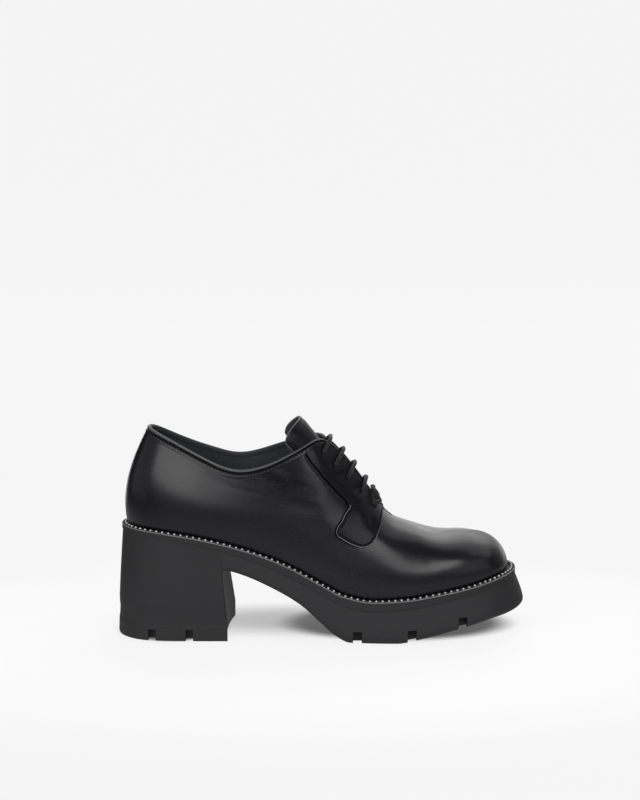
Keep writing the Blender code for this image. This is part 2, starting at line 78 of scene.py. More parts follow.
# The sole
SEAM_GAP = 0.3
SOLE_LEDGE = 3.0
TOE_WELT = 1.7
TOP_PIECE_HEIGHT = 10.3
HEEL_BREAST_X = -61.6
# Lean of the heel's breast at its foot, on the lateral and the medial side
HEEL_BREAST_LEAN = (4.2, 5.4)
HEEL_BREAST_HOLLOW = 2.4
HEEL_BREAST_ROUND = 4.0
HEEL_BREAST_GAP = 0.4
# Share of the heel's side that its upper rows take
HEEL_SPLIT = 0.7
# Along the shoe: where the breast's hollow and lean begin and end, and where heel and toe curve round
HOLLOW_START, HOLLOW_END, LEAN_START = -76.0, -46.0, -72.0
HEEL_BEND, TOE_BEND = (-118, -110), (96, 112)
BEAD_DIAMETER = 1.6
BEAD_PITCH = 3.88
BEAD_OFFSET = 1.15
BEAD_CORD_RADIUS = 0.30
# Rows of the midsole's edge that carry a pale line painted as a highlight: the outer quarter of its rim
RIM_LINE = np.arange(8, 12)
# Fine tread: channels across and along the forefoot, and their depth
CROSS_GROOVES = (5.5, 22.2, 38.9, 55.6, 71.1, 86.6)
LONG_GROOVES = (-14.0, 15.0)
GROOVE_DEPTH = 2.2

# Sections of the last from the back seam to the toe tip, as shares of its sizes, with pulls in millimetres
Section = namedtuple(
    "Section",
    "along lateral medial low_out low_up top_along top_half top_height medial_lift "
    "high_out high_drop flare",
)
SECTIONS = (
    Section(0.000, 0.000, 0.000, 4.8, 24, 0.058, 0.000, 1.078, 0.0, 9.0, 18, 2.4),
    Section(0.025, 0.205, 0.208, 5.2, 23, 0.076, 0.172, 1.064, -0.6, 7.0, 18, 4.4),
    Section(0.089, 0.328, 0.334, 5.0, 20, 0.147, 0.290, 0.999, -1.4, 4.6, 16, 2.6),
    Section(0.176, 0.362, 0.358, 4.5, 17, 0.226, 0.324, 0.918, 1.5, 4.0, 14, 1.4),
    Section(0.271, 0.366, 0.325, 4.5, 18, 0.300, 0.328, 0.873, 3.8, 4.0, 14, 1.2),
    Section(0.366, 0.364, 0.295, 5.0, 22, 0.387, 0.288, 0.910, 5.0, 6.5, 18, 1.4),
    Section(0.458, 0.384, 0.325, 5.0, 26, 0.470, 0.222, 0.994, 1.5, 9.0, 20, 1.8),
    Section(0.540, 0.418, 0.400, 4.5, 27, 0.524, 0.104, 1.000, 0.0, 18.0, 17, 2.4),
    Section(0.623, 0.454, 0.478, 4.5, 26, 0.598, 0.060, 0.839, 0.0, 21.0, 13, 2.8),
    Section(0.702, 0.468, 0.522, 4.5, 22, 0.673, 0.045, 0.640, 0.0, 24.0, 3, 3.2),
    Section(0.780, 0.464, 0.532, 4.0, 20, 0.735, 0.000, 0.568, 0.0, 28.0, 0, 3.8),
    Section(0.859, 0.432, 0.510, 3.5, 20, 0.797, 0.000, 0.524, 0.0, 28.0, 0, 5.0),
    Section(0.925, 0.355, 0.448, 3.0, 17, 0.847, 0.000, 0.525, 0.0, 25.0, 0, 6.0),
    Section(0.978, 0.195, 0.310, 2.0, 11, 0.880, 0.000, 0.526, 0.0, 19.0, 0, 6.2),
    Section(1.000, -0.055, 0.055, 1.0, 10, 0.900, 0.000, 0.526, 0.0, 16.0, 0, 5.6),
)
TOE = len(SECTIONS) - 1
TURN = 2 * TOE
THROAT_END = 9.34

# Heights along the shoe: the feather edge in shares of the heel seat, the tread under waist and forefoot
Level = namedtuple("Level", "x z")
FEATHER_SHARES = (
    Level(-125, 1.000), Level(-100, 0.969), Level(-80, 0.927), Level(-60, 0.864), Level(-40, 0.777),
    Level(-20, 0.663), Level(0, 0.513), Level(15, 0.410), Level(32, 0.370), Level(50, 0.384),
    Level(70, 0.430), Level(90, 0.485), Level(110, 0.550), Level(125, 0.592),
)
FEATHER_EDGE = tuple(Level(x, share * HEEL_SEAT_HEIGHT) for x, share in FEATHER_SHARES)
TREAD = (
    Level(-62, 45.6), Level(-49, 41.6), Level(-30, 33.0), Level(-13, 23.0), Level(0, 11.6),
    Level(8, 4.6), Level(18, 0.0), Level(46, 0.0), Level(62, 3.0), Level(88, 9.6), Level(110, 14.6),
    Level(130, 17.6),
)

# Height of the midsole's band under the feather edge, along the shoe
BAND = (
    Level(-126, 3.0), Level(-90, 3.2), Level(-60, 3.8), Level(-20, 5.2), Level(15, 5.6), Level(50, 5.2),
    Level(85, 4.4), Level(110, 3.2), Level(130, 2.8),
)

# Side notches of the tread: middles along the shoe, length, height, and reach in from the ledge
Notches = namedtuple("Notches", "middles length height reach")
FOREFOOT_NOTCHES = Notches((22.2, 55.6, 86.6), 5.4, 8.0, 7.0)
HEEL_NOTCHES = Notches((-104.8, -81.5), 4.6, 7.2, 7.0)

# Side wall of the sole from its top edge down: share of the depth, share of the flare
SideRow = namedtuple("SideRow", "depth spread")
SIDE_WALL = (
    SideRow(0.00, 0.00), SideRow(0.30, 0.45), SideRow(0.58, 0.82), SideRow(0.80, 1.00),
    SideRow(0.95, 0.50), SideRow(1.00, -0.60),
)

# Eyestay seen from the side: its rear seam from the topline to the foot of the tab, the tab's front edge
SidePoint = namedtuple("SidePoint", "x z")
EYESTAY_REAR = (
    SidePoint(-12.4, 117.4), SidePoint(-5.7, 109.2), SidePoint(1.7, 100.5), SidePoint(9.1, 92.5),
    SidePoint(15.6, 85.6), SidePoint(17.1, 83.3), SidePoint(16.3, 81.4), SidePoint(14.4, 79.0),
    SidePoint(12.5, 74.9), SidePoint(9.4, 70.2), SidePoint(8.9, 67.8), SidePoint(9.8, 66.0),
    SidePoint(12.4, 64.2), SidePoint(18.6, 60.8), SidePoint(22.4, 59.3), SidePoint(25.6, 58.7),
)
EYESTAY_NOTCH = 5
EYESTAY_FRONT = (
    SidePoint(38.2, 76.6), SidePoint(37.4, 73.4), SidePoint(36.0, 69.2), SidePoint(33.6, 64.0),
    SidePoint(30.0, 60.2), SidePoint(25.6, 58.7),
)
BAR_TACK = (SidePoint(22.5, 72.0), SidePoint(27.4, 69.5))
THROAT_CORNER = 6.95
THROAT_FOOT = 8.9
# Loop places between which the lace bars cross the throat's edge
THROAT_RUN = (6.6, 9.3)

# Lace holes seen from the side, from the top pair down
LACE_HOLES = (
    SidePoint(1.1, 115.8), SidePoint(8.5, 107.5), SidePoint(16.4, 99.6), SidePoint(25.2, 90.8),
    SidePoint(32.2, 82.6),
)

# Way from a lace hole to the place where its bar leaves the facing's edge
LACE_RISE = SidePoint(3.4, 6.4)

# Tongue: ridge line in the middle plane, radius of the arch and its spread to each side in degrees
TongueRow = namedtuple("TongueRow", "x z radius spread")
TONGUE = (
    TongueRow(46.5, 67.6, 25.0, 34),
    TongueRow(39.0, 74.6, 22.0, 44),
    TongueRow(30.2, 85.8, 19.5, 54),
    TongueRow(20.2, 97.0, 17.6, 66),
    TongueRow(10.4, 108.2, 16.8, 78),
    TongueRow(1.6, 119.0, 17.0, 86),
    TongueRow(-6.2, 128.6, 18.0, 86),
    TongueRow(-12.9, 136.8, 19.0, 84),
)

# Soft creases of the upper seen from the side: ends of each trough, its half width and its depth
Crease = namedtuple("Crease", "x0 z0 x1 z1 width depth")
CREASES = (
    Crease(-66.0, 103.0, -28.0, 97.0, 3.2, 0.22),
    Crease(-52.0, 97.0, -14.0, 93.0, 2.8, 0.18),
    Crease(-34.0, 106.0, 0.0, 92.0, 3.0, 0.22),
    Crease(-30.0, 90.0, 6.0, 82.0, 3.4, 0.20),
)

# Pulls of the lacing on the facing seen from the side: place, half lengths, turn in degrees, height
Pull = namedtuple("Pull", "x z along across turn height")
PULLS = (
    Pull(-2.5, 114.0, 5.0, 2.4, -60, 0.35),
    Pull(4.8, 105.6, 5.0, 2.0, -30, 0.30),
    Pull(13.0, 95.0, 4.6, 2.4, -40, 0.45),
    Pull(12.2, 101.6, 3.4, 1.8, 20, -0.35),
    Pull(21.6, 87.6, 4.4, 2.6, -50, 0.50),
    Pull(22.4, 93.0, 3.6, 1.6, 30, -0.45),
    Pull(24.6, 78.4, 5.4, 3.4, -70, 0.55),
    Pull(30.0, 75.4, 6.4, 1.8, -72, -0.50),
    Pull(34.0, 74.6, 5.0, 1.8, -80, 0.40),
)


def hermite(first, second, rise, end_rise, s):
    """Cubic from first to second at share s, with the rise that each end's slope gives over the step."""
    return (
        first * (1 + 2 * s) * (1 - s) ** 2
        + second * s**2 * (3 - 2 * s)
        + rise * s * (1 - s) ** 2
        + end_rise * s**2 * (s - 1)
    )


def monotone(knots, heights, x):
    """Cubic pieces through heights at the knots, with harmonic mean slopes so that it never overshoots."""
    knots, heights = np.asarray(knots, float), np.asarray(heights, float)
    steps = np.diff(knots)
    slopes = np.diff(heights) / steps
    same_way = slopes[:-1] * slopes[1:] > 0
    near, far = np.where(same_way, slopes[:-1], 1.0), np.where(same_way, slopes[1:], 1.0)
    weight_near, weight_far = 2 * steps[1:] + steps[:-1], steps[1:] + 2 * steps[:-1]
    middle = (weight_near + weight_far) / (weight_near / near + weight_far / far)
    tangents = np.concatenate([slopes[:1], np.where(same_way, middle, 0.0), slopes[-1:]])
    i = np.clip(np.searchsorted(knots, x) - 1, 0, len(steps) - 1)
    s = (x - knots[i]) / steps[i]
    return hermite(heights[i], heights[i + 1], steps[i] * tangents[i], steps[i] * tangents[i + 1], s)


def level_at(levels, x):
    """Second number of a table's rows, read at x between their first numbers."""
    return monotone(*np.transpose(levels), x)


def smooth_step(low, high, x):
    """Cubic step from 0 at low to 1 at high."""
    share = np.clip((x - low) / (high - low), 0, 1)
    return share * share * (3 - 2 * share)


def smooth_curve(points, share):
    """Cubic pieces through points, with chord lengths as knots, read at shares of the length."""
    points = np.asarray(points, float)
    knots = lengths_along(points)
    slopes = np.gradient(points, knots, axis=0)
    x = np.asarray(share, float) * knots[-1]
    i = np.clip(np.searchsorted(knots, x) - 1, 0, len(knots) - 2)
    step = (knots[i + 1] - knots[i])[..., None]
    s = (x - knots[i])[..., None] / step
    return hermite(points[i], points[i + 1], step * slopes[i], step * slopes[i + 1], s)


def unit(vectors):
    """Vectors scaled to length 1."""
    return vectors / np.linalg.norm(vectors, axis=-1, keepdims=True)


def lengths_along(path):
    """Distance from the start of a path to each of its points."""
    return np.concatenate([[0.0], np.cumsum(np.linalg.norm(np.diff(path, axis=0), axis=1))])


def evenly(path, step, *others):
    """A path, and others given at the same points, read again at equal steps of its length."""
    along = lengths_along(path)
    count = max(int(round(along[-1] / step)), 1)
    places = (np.arange(count) + 0.5) * along[-1] / count
    return [
        np.stack([np.interp(places, along, column) for column in np.asarray(values).T], -1)
        for values in (path, *others)
    ]


def loop_table():
    """The section rows as one closed loop: lateral side to the toe, medial side back."""
    rows = []
    for k in list(range(TOE + 1)) + list(range(TOE - 1, 0, -1)):
        row, medial = SECTIONS[k], len(rows) > TOE
        rows.append(
            (
                LAST_HEEL_X + row.along * LAST_LENGTH,
                (row.medial if medial else -row.lateral) * BALL_WIDTH,
                row.low_out,
                row.low_up,
                LAST_HEEL_X + row.top_along * LAST_LENGTH,
                (row.top_half if medial else -row.top_half) * BALL_WIDTH,
                row.top_height * INSTEP_HEIGHT,
                row.high_out,
                row.high_drop,
                row.flare,
                row.medial_lift if medial else 0.0,
            )
        )
    return np.array(rows, float)


def loop_bends(values):
    """Second derivatives of the cubic curve through rows spaced one apart on a closed loop."""
    count = len(values)
    matrix = 4 * np.eye(count) + np.roll(np.eye(count), 1, 0) + np.roll(np.eye(count), -1, 0)
    return np.linalg.solve(matrix, 6 * (np.roll(values, -1, 0) - 2 * values + np.roll(values, 1, 0)))


# Columns of the loop table after the feather edge's x and y
LOW_OUT, LOW_UP, TOP_X, TOP_Y, TOP_Z, HIGH_OUT, HIGH_DROP, FLARE, LIFT = range(2, 11)
LOOP = loop_table()
BENDS = loop_bends(LOOP)


def last_row(t):
    """Row of the last at loop place t, read from the closed cubic curve through the section rows."""
    t = np.mod(t, TURN)
    i = np.floor(t).astype(int) % TURN
    j = (i + 1) % TURN
    b = (t - np.floor(t))[..., None]
    a = 1 - b
    return a * LOOP[i] + b * LOOP[j] + ((a**3 - a) * BENDS[i] + (b**3 - b) * BENDS[j]) / 6


def feather(t, offset=0.0):
    """Feather edge at loop place t, moved outward in plan by offset: row, outward way, plan, height."""
    t = np.asarray(t, float)
    step = 1e-3
    here = last_row(t)
    run = unit(last_row(t + step)[..., :2] - last_row(t - step)[..., :2])
    out = np.stack([run[..., 1], -run[..., 0]], -1)
    plan = here[..., :2] + out * np.asarray(offset, float)[..., None]
    return here, out, plan, level_at(FEATHER_EDGE, here[..., 0])


def toe_welt(t):
    """How much further out the sole's edge stands at loop place t: most at the toe tip."""
    return TOE_WELT * np.exp(-(((np.mod(t, TURN) - TOE) / 1.1) ** 2))


def is_closed(t):
    """True where the two sides of the upper meet on the ridge of the vamp and toe."""
    return np.abs(np.mod(t, TURN) - TOE) <= TOE - THROAT_END


def bare_wall(t, v):
    """Outer face of the last: a cubic from the feather edge (v 0) to the top edge (v 1).

    In front of the throat the two sides are drawn together near their top edges, onto one ridge.
    """
    t, v = np.broadcast_arrays(np.asarray(t, float), np.asarray(v, float))
    here, out, plan, height = feather(t)
    side = np.where(np.mod(t, TURN) > TOE, 1.0, -1.0)
    half = np.maximum(here[..., TOP_Y] * side, 0.0)
    lift = np.where(is_closed(t), 0.0, here[..., LIFT])
    foot = np.stack([plan[..., 0], plan[..., 1], height], -1)
    top = np.stack([here[..., TOP_X], half * side, here[..., TOP_Z] + lift], -1)
    outward = np.concatenate([out, np.zeros_like(out[..., :1])], -1)
    up = np.array([0.0, 0.0, 1.0])
    low = foot + outward * here[..., LOW_OUT, None] + up * here[..., LOW_UP, None]
    high = top + outward * here[..., HIGH_OUT, None] - up * here[..., HIGH_DROP, None]
    b = v[..., None]
    a = 1 - b
    face = a**3 * foot + 3 * a**2 * b * low + 3 * a * b**2 * high + b**3 * top
    face[..., 1] -= np.where(is_closed(t), half * side * v**10, 0.0)
    return face


def wall_normal(t, v):
    """Outward direction of the last's face; on the ridge it lies in the middle plane."""
    step = 2e-3
    t, v = np.broadcast_arrays(np.asarray(t, float), np.asarray(v, float))
    inside = np.clip(v, step, 1 - step)
    along = bare_wall(t + step, inside) - bare_wall(t - step, inside)
    rise = bare_wall(t, inside + step) - bare_wall(t, inside - step)
    normal = unit(np.cross(along, rise))
    normal[..., 1] = np.where(is_closed(t) & (v > 1 - 1e-6), 0.0, normal[..., 1])
    return unit(normal)


def wall(t, v, offset=0.0):
    """Point of the last's face moved out along its normal by offset."""
    return bare_wall(t, v) + wall_normal(t, v) * np.asarray(offset, float)[..., None]


def wall_place(points, medial=False):
    """Loop place t, counted on the lateral side, and height share v of points seen from the side."""
    target = np.array([(p.x, p.z) for p in points], float)
    t = np.linspace(0.2, TOE - 0.2, 160)[:, None] + np.zeros(60)
    v = np.linspace(0.0, 1.0, 60) + np.zeros_like(t)

    def seen(t, v):
        return bare_wall(on_side(t, medial), v)[..., ::2]

    miss = ((seen(t, v)[None] - target[:, None, None]) ** 2).sum(-1)
    best = miss.reshape(len(target), -1).argmin(-1)
    t, v = t.ravel()[best], v.ravel()[best]
    step = 1e-3
    for _ in range(12):
        now = seen(t, v)
        by_t, by_v = (seen(t + step, v) - now) / step, (seen(t, v + step) - now) / step
        off = target - now
        area = by_t[:, 0] * by_v[:, 1] - by_t[:, 1] * by_v[:, 0]
        t = t + np.clip((off[:, 0] * by_v[:, 1] - off[:, 1] * by_v[:, 0]) / area, -0.1, 0.1)
        v = v + np.clip((by_t[:, 0] * off[:, 1] - by_t[:, 1] * off[:, 0]) / area, -0.05, 0.05)
        v = np.clip(v, 0.0, 1.0)
    return np.stack([t, v], -1)


def on_side(t, medial):
    """Loop place t of the lateral side, or its counterpart on the medial side."""
    return TURN - t if medial else t


def below_top(t, depth):
    """Height share of the place that lies a depth in millimetres under the top edge at loop place t."""
    rise = bare_wall(t, np.ones_like(t)) - bare_wall(t, np.full_like(t, 1 - TOP_STEP))
    return 1 - depth * TOP_STEP / np.linalg.norm(rise, axis=-1)


def place_at(x):
    """Loop place on the lateral side whose feather edge lies at x along the shoe."""
    t = np.linspace(0, TOE, 1200)
    return np.interp(x, last_row(t)[:, 0], t)


def bell(distance, width):
    """1 at distance 0, falling off over the width to both sides."""
    return np.exp(-((distance / width) ** 2))


def round_edge(inward, radius):
    """Quarter round: 0 on the edge, 1 a radius in from it."""
    return np.sqrt(1 - (1 - np.minimum(inward / radius, 1)) ** 2)


def between(count):
    """That many equal shares between 0 and 1, without the ends."""
    return np.linspace(0, 1, count + 2)[1:-1]


def arch(share):
    """0 at shares 0 and 1, 1 in the middle."""
    return 4 * share * (1 - share)


def quads(rows, columns):
    """Corner numbers of the quads of a grid of points stored row after row."""
    first = (np.arange(rows - 1)[:, None] * columns + np.arange(columns - 1)[None, :]).ravel()
    return np.stack([first, first + 1, first + columns + 1, first + columns], 1)


def copies(faces, count, size):
    """Corner numbers of many copies of a small mesh with that many points each."""
    return (faces[None] + (np.arange(count) * size)[:, None, None]).reshape(-1, 4)


def piece(name, points, faces, finishes, replaced=(), weld=1e-6, sharp=None, part=None):
    """Object from points in millimetres and quads; doubled points are welded, faces turned outward.

    part gives each face's number in the list of finishes, and sharp the angle in degrees above which an
    edge is shaded hard.
    """
    points = np.asarray(points, float).reshape(-1, 3) + np.array([0.0, LAST_AXIS_Y, 0.0])
    mesh = bpy.data.meshes.new(name)
    mesh.vertices.add(len(points))
    mesh.vertices.foreach_set("co", (points * MM).astype(np.float32).ravel())
    mesh.loops.add(faces.size)
    mesh.loops.foreach_set("vertex_index", faces.astype(np.int32).ravel())
    mesh.polygons.add(len(faces))
    mesh.polygons.foreach_set("loop_start", np.arange(0, faces.size, 4, dtype=np.int32))
    if part is not None:
        mesh.polygons.foreach_set("material_index", part.astype(np.int32))
    mesh.update(calc_edges=True)
    shape = bmesh.new()
    shape.from_mesh(mesh)
    bmesh.ops.delete(shape, geom=[v for v in shape.verts if not v.link_faces], context="VERTS")
    bmesh.ops.remove_doubles(shape, verts=shape.verts, dist=weld)
    bmesh.ops.dissolve_degenerate(shape, edges=shape.edges, dist=1e-7)
    bmesh.ops.recalc_face_normals(shape, faces=shape.faces)
    shape.to_mesh(mesh)
    shape.free()
    mesh.shade_smooth()
    if sharp is not None:
        mesh.set_sharp_from_angle(angle=np.radians(sharp))
    for finish in finishes:
        mesh.materials.append(finish.material)
    thing = bpy.data.objects.new(name, mesh)
    bpy.context.scene.collection.objects.link(thing)
    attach(thing, "root")
    if replaced:
        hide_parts(*replaced)


class Number:
    """A value carried by a node's socket; arithmetic on it adds Math nodes to its finish."""

    def __init__(self, finish, socket):
        self.finish = finish
        self.socket = socket

    def math(self, operation, *terms):
        return self.finish.node("ShaderNodeMath", {"operation": operation}, dict(enumerate(terms)))

    def __add__(self, other):
        return self.math("ADD", self, other)

    def __sub__(self, other):
        return self.math("SUBTRACT", self, other)

    def __rsub__(self, other):
        return self.math("SUBTRACT", other, self)

    def __mul__(self, other):
        return self.math("MULTIPLY", self, other)

    __radd__ = __add__
    __rmul__ = __mul__


class Finish:
    """A material being made: its node tree and the sockets of its Principled shader."""

    def __init__(self, name, uniform):
        self.material = bpy.data.materials.new(name)
        self.material.use_nodes = True
        self.tree = self.material.node_tree
        self.shader = self.tree.nodes["Principled BSDF"]
        for socket, value in uniform.items():
            self.feed(self.shader.inputs[socket], value)

    def feed(self, socket, value):
        if isinstance(value, Number):
            self.tree.links.new(value.socket, socket)
        else:
            socket.default_value = value

    def node(self, kind, settings, inputs, output=0):
        """A node of that kind with its settings, then its inputs as values or links."""
        made = self.tree.nodes.new(kind)
        for key, setting in settings.items():
            setattr(made, key, setting)
        for key, value in inputs.items():
            self.feed(made.inputs[key], value)
        return Number(self, made.outputs[output])

    def coordinates(self):
        return self.node("ShaderNodeTexCoord", {}, {}, "Object")

    def noise(self, vector, size, detail=3.0, roughness=0.55, distortion=0.0):
        """Noise with features of that size in millimetres, from 0 to 1."""
        inputs = {"Vector": vector, "Scale": 1 / (size * MM), "Detail": detail, "Roughness": roughness}
        return self.node("ShaderNodeTexNoise", {}, {**inputs, "Distortion": distortion})

    def cells(self, vector, size):
        """Distance inside cells of that size in millimetres."""
        return self.node("ShaderNodeTexVoronoi", {}, {"Vector": vector, "Scale": 1 / (size * MM)})

    def stretched(self, vector, scale, turn):
        """Coordinates turned by degrees, then scaled along each way."""
        turned = self.node("ShaderNodeMapping", {}, {"Vector": vector, "Rotation": tuple(np.radians(turn))})
        return self.node("ShaderNodeMapping", {}, {"Vector": turned, "Scale": scale})

    def apart(self, vector, middle, reach):
        """Distance from a middle in shares of the reach along each way, both in metres."""
        scale = [1 / r for r in reach]
        shift = [-m / r for m, r in zip(middle, reach)]
        placed = self.node("ShaderNodeMapping", {}, {"Vector": vector, "Location": shift, "Scale": scale})
        return self.node("ShaderNodeVectorMath", {"operation": "LENGTH"}, {0: placed}, "Value")

    def step(self, value, low, high):
        """Smooth step from 0 at low to 1 at high."""
        ends = {"Value": value, "From Min": low, "From Max": high}
        return self.node("ShaderNodeMapRange", {"interpolation_type": "SMOOTHSTEP"}, ends)

    def spot(self, vector, middle, reach):
        """1 in the middle of a soft ball, 0 past its reach; both in millimetres, reach for each way."""
        return 1 - self.step(self.apart(vector, np.array(middle) * MM, np.array(reach) * MM), 0.15, 1.0)

    def mix(self, factor, first, second):
        """Colour between two colours."""
        return self.node("ShaderNodeMix", {"data_type": "RGBA"}, {0: factor, 6: first, 7: second}, 2)

    def relief(self, height, depth, under=None):
        """Bump of that depth in millimetres from a height of 0 to 1, over another bump."""
        inputs = {"Height": height, "Distance": depth * MM, "Strength": 1.0}
        return self.node("ShaderNodeBump", {}, {**inputs, "Normal": under} if under else inputs)

    def use(self, sockets):
        """Feeds sockets of the shader."""
        for socket, value in sockets.items():
            self.feed(self.shader.inputs[socket], value)
        return self


def grey(level, warmth=0.0):
    """Grey of a level, tinted to red by its warmth."""
    return (level * (1 + warmth), level, level * (1 - warmth), 1.0)


def upper_leather(name, handled):
    """Smooth polished black calf: fine pores, looser wavy grain on the quarters, a waxed coat.

    The coat is worn off beside the facing, and on all of a handled piece.
    """
    uniform = {"Coat Roughness": 0.24, "Specular IOR Level": 0.13}
    finish = Finish(name, {**uniform, "Specular Tint": (1.0, 0.96, 1.08, 1.0)})
    place = finish.coordinates()
    broad = finish.noise(place, 26.0, 2.0)
    pores = finish.cells(place, 0.75)
    fine = finish.noise(place, 0.35, 2.0)
    waves = finish.noise(finish.stretched(place, (0.42, 1.0, 1.0), (0.0, 18.0, 0.0)), 1.1, 4.0, 0.6, 0.8)
    loose = finish.spot(place, (-23.0, 0.0, 98.0), (41.0, 90.0, 23.0))
    worn = finish.spot(place, (12.0, 0.0, 90.0), (40.0, 90.0, 42.0))
    dull = handled + (1 - handled) * (loose + worn - loose * worn)
    crinkle = (waves.math("MAXIMUM", waves, 0.48) - 0.48) * loose
    base = finish.mix(broad, (0.0034, 0.0028, 0.0048, 1.0), (0.0050, 0.0042, 0.0068, 1.0))
    bump = finish.relief(waves * loose, 1.8)
    bump = finish.relief(pores, 0.24, bump)
    bump = finish.relief(fine, 0.05, bump)
    return finish.use(
        {
            "Base Color": base,
            "Roughness": 0.30 + 0.08 * broad + 0.18 * dull,
            "Coat Weight": 0.86 - 0.79 * dull + 2.2 * crinkle,
            "Normal": bump,
        }
    )


def painted_highlight_finish(name, level):
    """Painted highlight: a finish a little paler than the face beside it, for rims and crests."""
    return Finish(name, {"Base Color": grey(level), "Roughness": 0.35, "Specular IOR Level": 0.5})


def painted_shade_finish():
    """Painted shade: matte black on cut edges and in seam valleys, where their shade falls."""
    return Finish("painted_shade_finish", {"Base Color": grey(0.0015), "Roughness": 0.8, "Specular IOR Level": 0.12})


def lining_leather():
    """Matte charcoal lining with open pores."""
    finish = Finish("lining_leather", {"Specular IOR Level": 0.35})
    place = finish.coordinates()
    broad = finish.noise(place, 18.0)
    bump = finish.relief(finish.cells(place, 1.1), 0.10)
    bump = finish.relief(finish.noise(place, 0.4), 0.04, bump)
    base = finish.mix(broad, grey(0.052, -0.06), grey(0.078, -0.06))
    return finish.use({"Base Color": base, "Roughness": 0.62 + 0.16 * broad, "Normal": bump})


def sole_rubber():
    """Matte moulded rubber with a fine spark texture."""
    finish = Finish("sole_rubber", {"Specular IOR Level": 0.42})
    place = finish.coordinates()
    broad = finish.noise(place, 30.0)
    spark = finish.noise(place, 0.45, 3.0, 0.7)
    base = finish.mix(broad, (0.0260, 0.0240, 0.0265, 1.0), (0.0330, 0.0305, 0.0335, 1.0))
    bump = finish.relief(spark, 0.05)
    return finish.use({"Base Color": base, "Roughness": 0.56 + 0.14 * spark, "Normal": bump})


def bead_metal():
    """Bright polished nickel."""
    finish = Finish("bead_metal", {"Metallic": 0.55, "Specular IOR Level": 0.8})
    broad = finish.noise(finish.coordinates(), 2.0)
    base = finish.mix(broad, grey(0.92), grey(0.98))
    return finish.use({"Base Color": base, "Roughness": 0.24 + 0.08 * broad})


def fibrous(name, uniform, size, levels, rough, depth):
    """Finish whose grey, roughness and bump follow one noise of that size in millimetres."""
    finish = Finish(name, uniform)
    fibre = finish.noise(finish.coordinates(), size, 2.0)
    base = finish.mix(fibre, *map(grey, levels))
    bump = finish.relief(fibre, depth)
    return finish.use({"Base Color": base, "Roughness": rough[0] + rough[1] * fibre, "Normal": bump})


def lace_cord():
    """Waxed black cotton braid with a dusty sheen."""
    uniform = {"Sheen Weight": 0.35, "Sheen Roughness": 0.45, "Specular IOR Level": 0.4}
    return fibrous("lace_cord", uniform, 0.30, (0.010, 0.022), (0.55, 0.2), 0.06)


def sewing_thread():
    """Bonded black thread, twisted."""
    return fibrous("sewing_thread", {"Specular IOR Level": 0.5}, 0.25, (0.008, 0.014), (0.42, 0.15), 0.04)


def crease_relief(face):
    """Sum of the creases: each a bell across its line, as deep as its middle and fading at its ends."""
    total = np.zeros(face.shape[:-1])
    for crease in CREASES:
        start = np.array([crease.x0, crease.z0])
        run = np.array([crease.x1, crease.z1]) - start
        length = np.hypot(*run)
        way = run / length
        off = face[..., ::2] - start
        along = (off @ way) / length
        across = off @ np.array([-way[1], way[0]]) + crease.width * 0.5 * np.sin(np.pi * along)
        fade = smooth_step(-0.15, 0.35, along) * (1 - smooth_step(0.65, 1.15, along))
        trough = bell(across, crease.width) - 0.35 * bell(np.abs(across) - 1.9 * crease.width, crease.width)
        total -= crease.depth * fade * trough
    return total


def skin_relief(t, v):
    """Relief of the upper's outer skin: creases, room under the topline, back seam and tuck at the foot."""
    face = bare_wall(t, v)
    below = np.linalg.norm(face - bare_wall(t, np.ones_like(v)), axis=-1)
    beside = np.abs(np.mod(t + TOE, TURN) - TOE)
    collar = 1 - smooth_step(EYESTAY_TOP - 0.1, EYESTAY_TOP + 0.2, beside)
    room = -ROLL_ROOM * (1 - smooth_step(3.4, 4.6, below)) * collar
    from_back = np.where(beside < 1.0, np.abs(face[..., 1]), FAR)
    seam = 0.16 * bell(from_back - 0.9, 0.7) - 0.34 * bell(from_back, 0.32)
    above = np.linalg.norm(face - bare_wall(t, np.zeros_like(v)), axis=-1)
    tuck = TUCK_DEPTH * (round_edge(above, TUCK_HEIGHT) - 1)
    return crease_relief(face) + room + seam + tuck


def skin(t, v, offset=0.0):
    """Outer skin of the upper: the last's face with its relief, moved out by offset."""
    t, v = np.broadcast_arrays(np.asarray(t, float), np.asarray(v, float))
    return wall(t, v, skin_relief(t, v) + offset)


# Rolled edge of the collar: fall below the top edge and way out from the last's face
RollRow = namedtuple("RollRow", "fall out")
ROLL_PROFILE = (
    RollRow(3.0, -1.70), RollRow(2.5, -1.95), RollRow(1.6, -2.20), RollRow(0.6, -2.26),
    RollRow(-0.1, -2.02), RollRow(-0.5, -1.45), RollRow(-0.62, -0.85), RollRow(-0.46, -0.22),
    RollRow(-0.05, 0.20), RollRow(0.4, 0.36), RollRow(0.85, 0.30), RollRow(1.15, 0.08),
    RollRow(1.4, -0.28), RollRow(1.7, -0.50), RollRow(2.05, -0.42), RollRow(2.35, -0.06),
    RollRow(2.75, 0.12), RollRow(3.4, 0.10), RollRow(4.4, 0.02), RollRow(5.6, -0.30),
)

# Sewing: each row's distance from its edge, the stitches, and the puffed strip beside the blind seam
TOPLINE_ROW = 1.75
LINING_ROW = 2.65
PUCKER = 0.24
STITCH_LENGTH = 1.35
STITCH_PITCH = 1.95
STITCH_RADIUS = 0.27
EDGE_ROW = 1.4
SECOND_ROW = 3.1
TONGUE_ROW = 3.0
SEAM_STRIP = 2.6
SEAM_PUFF = 0.25


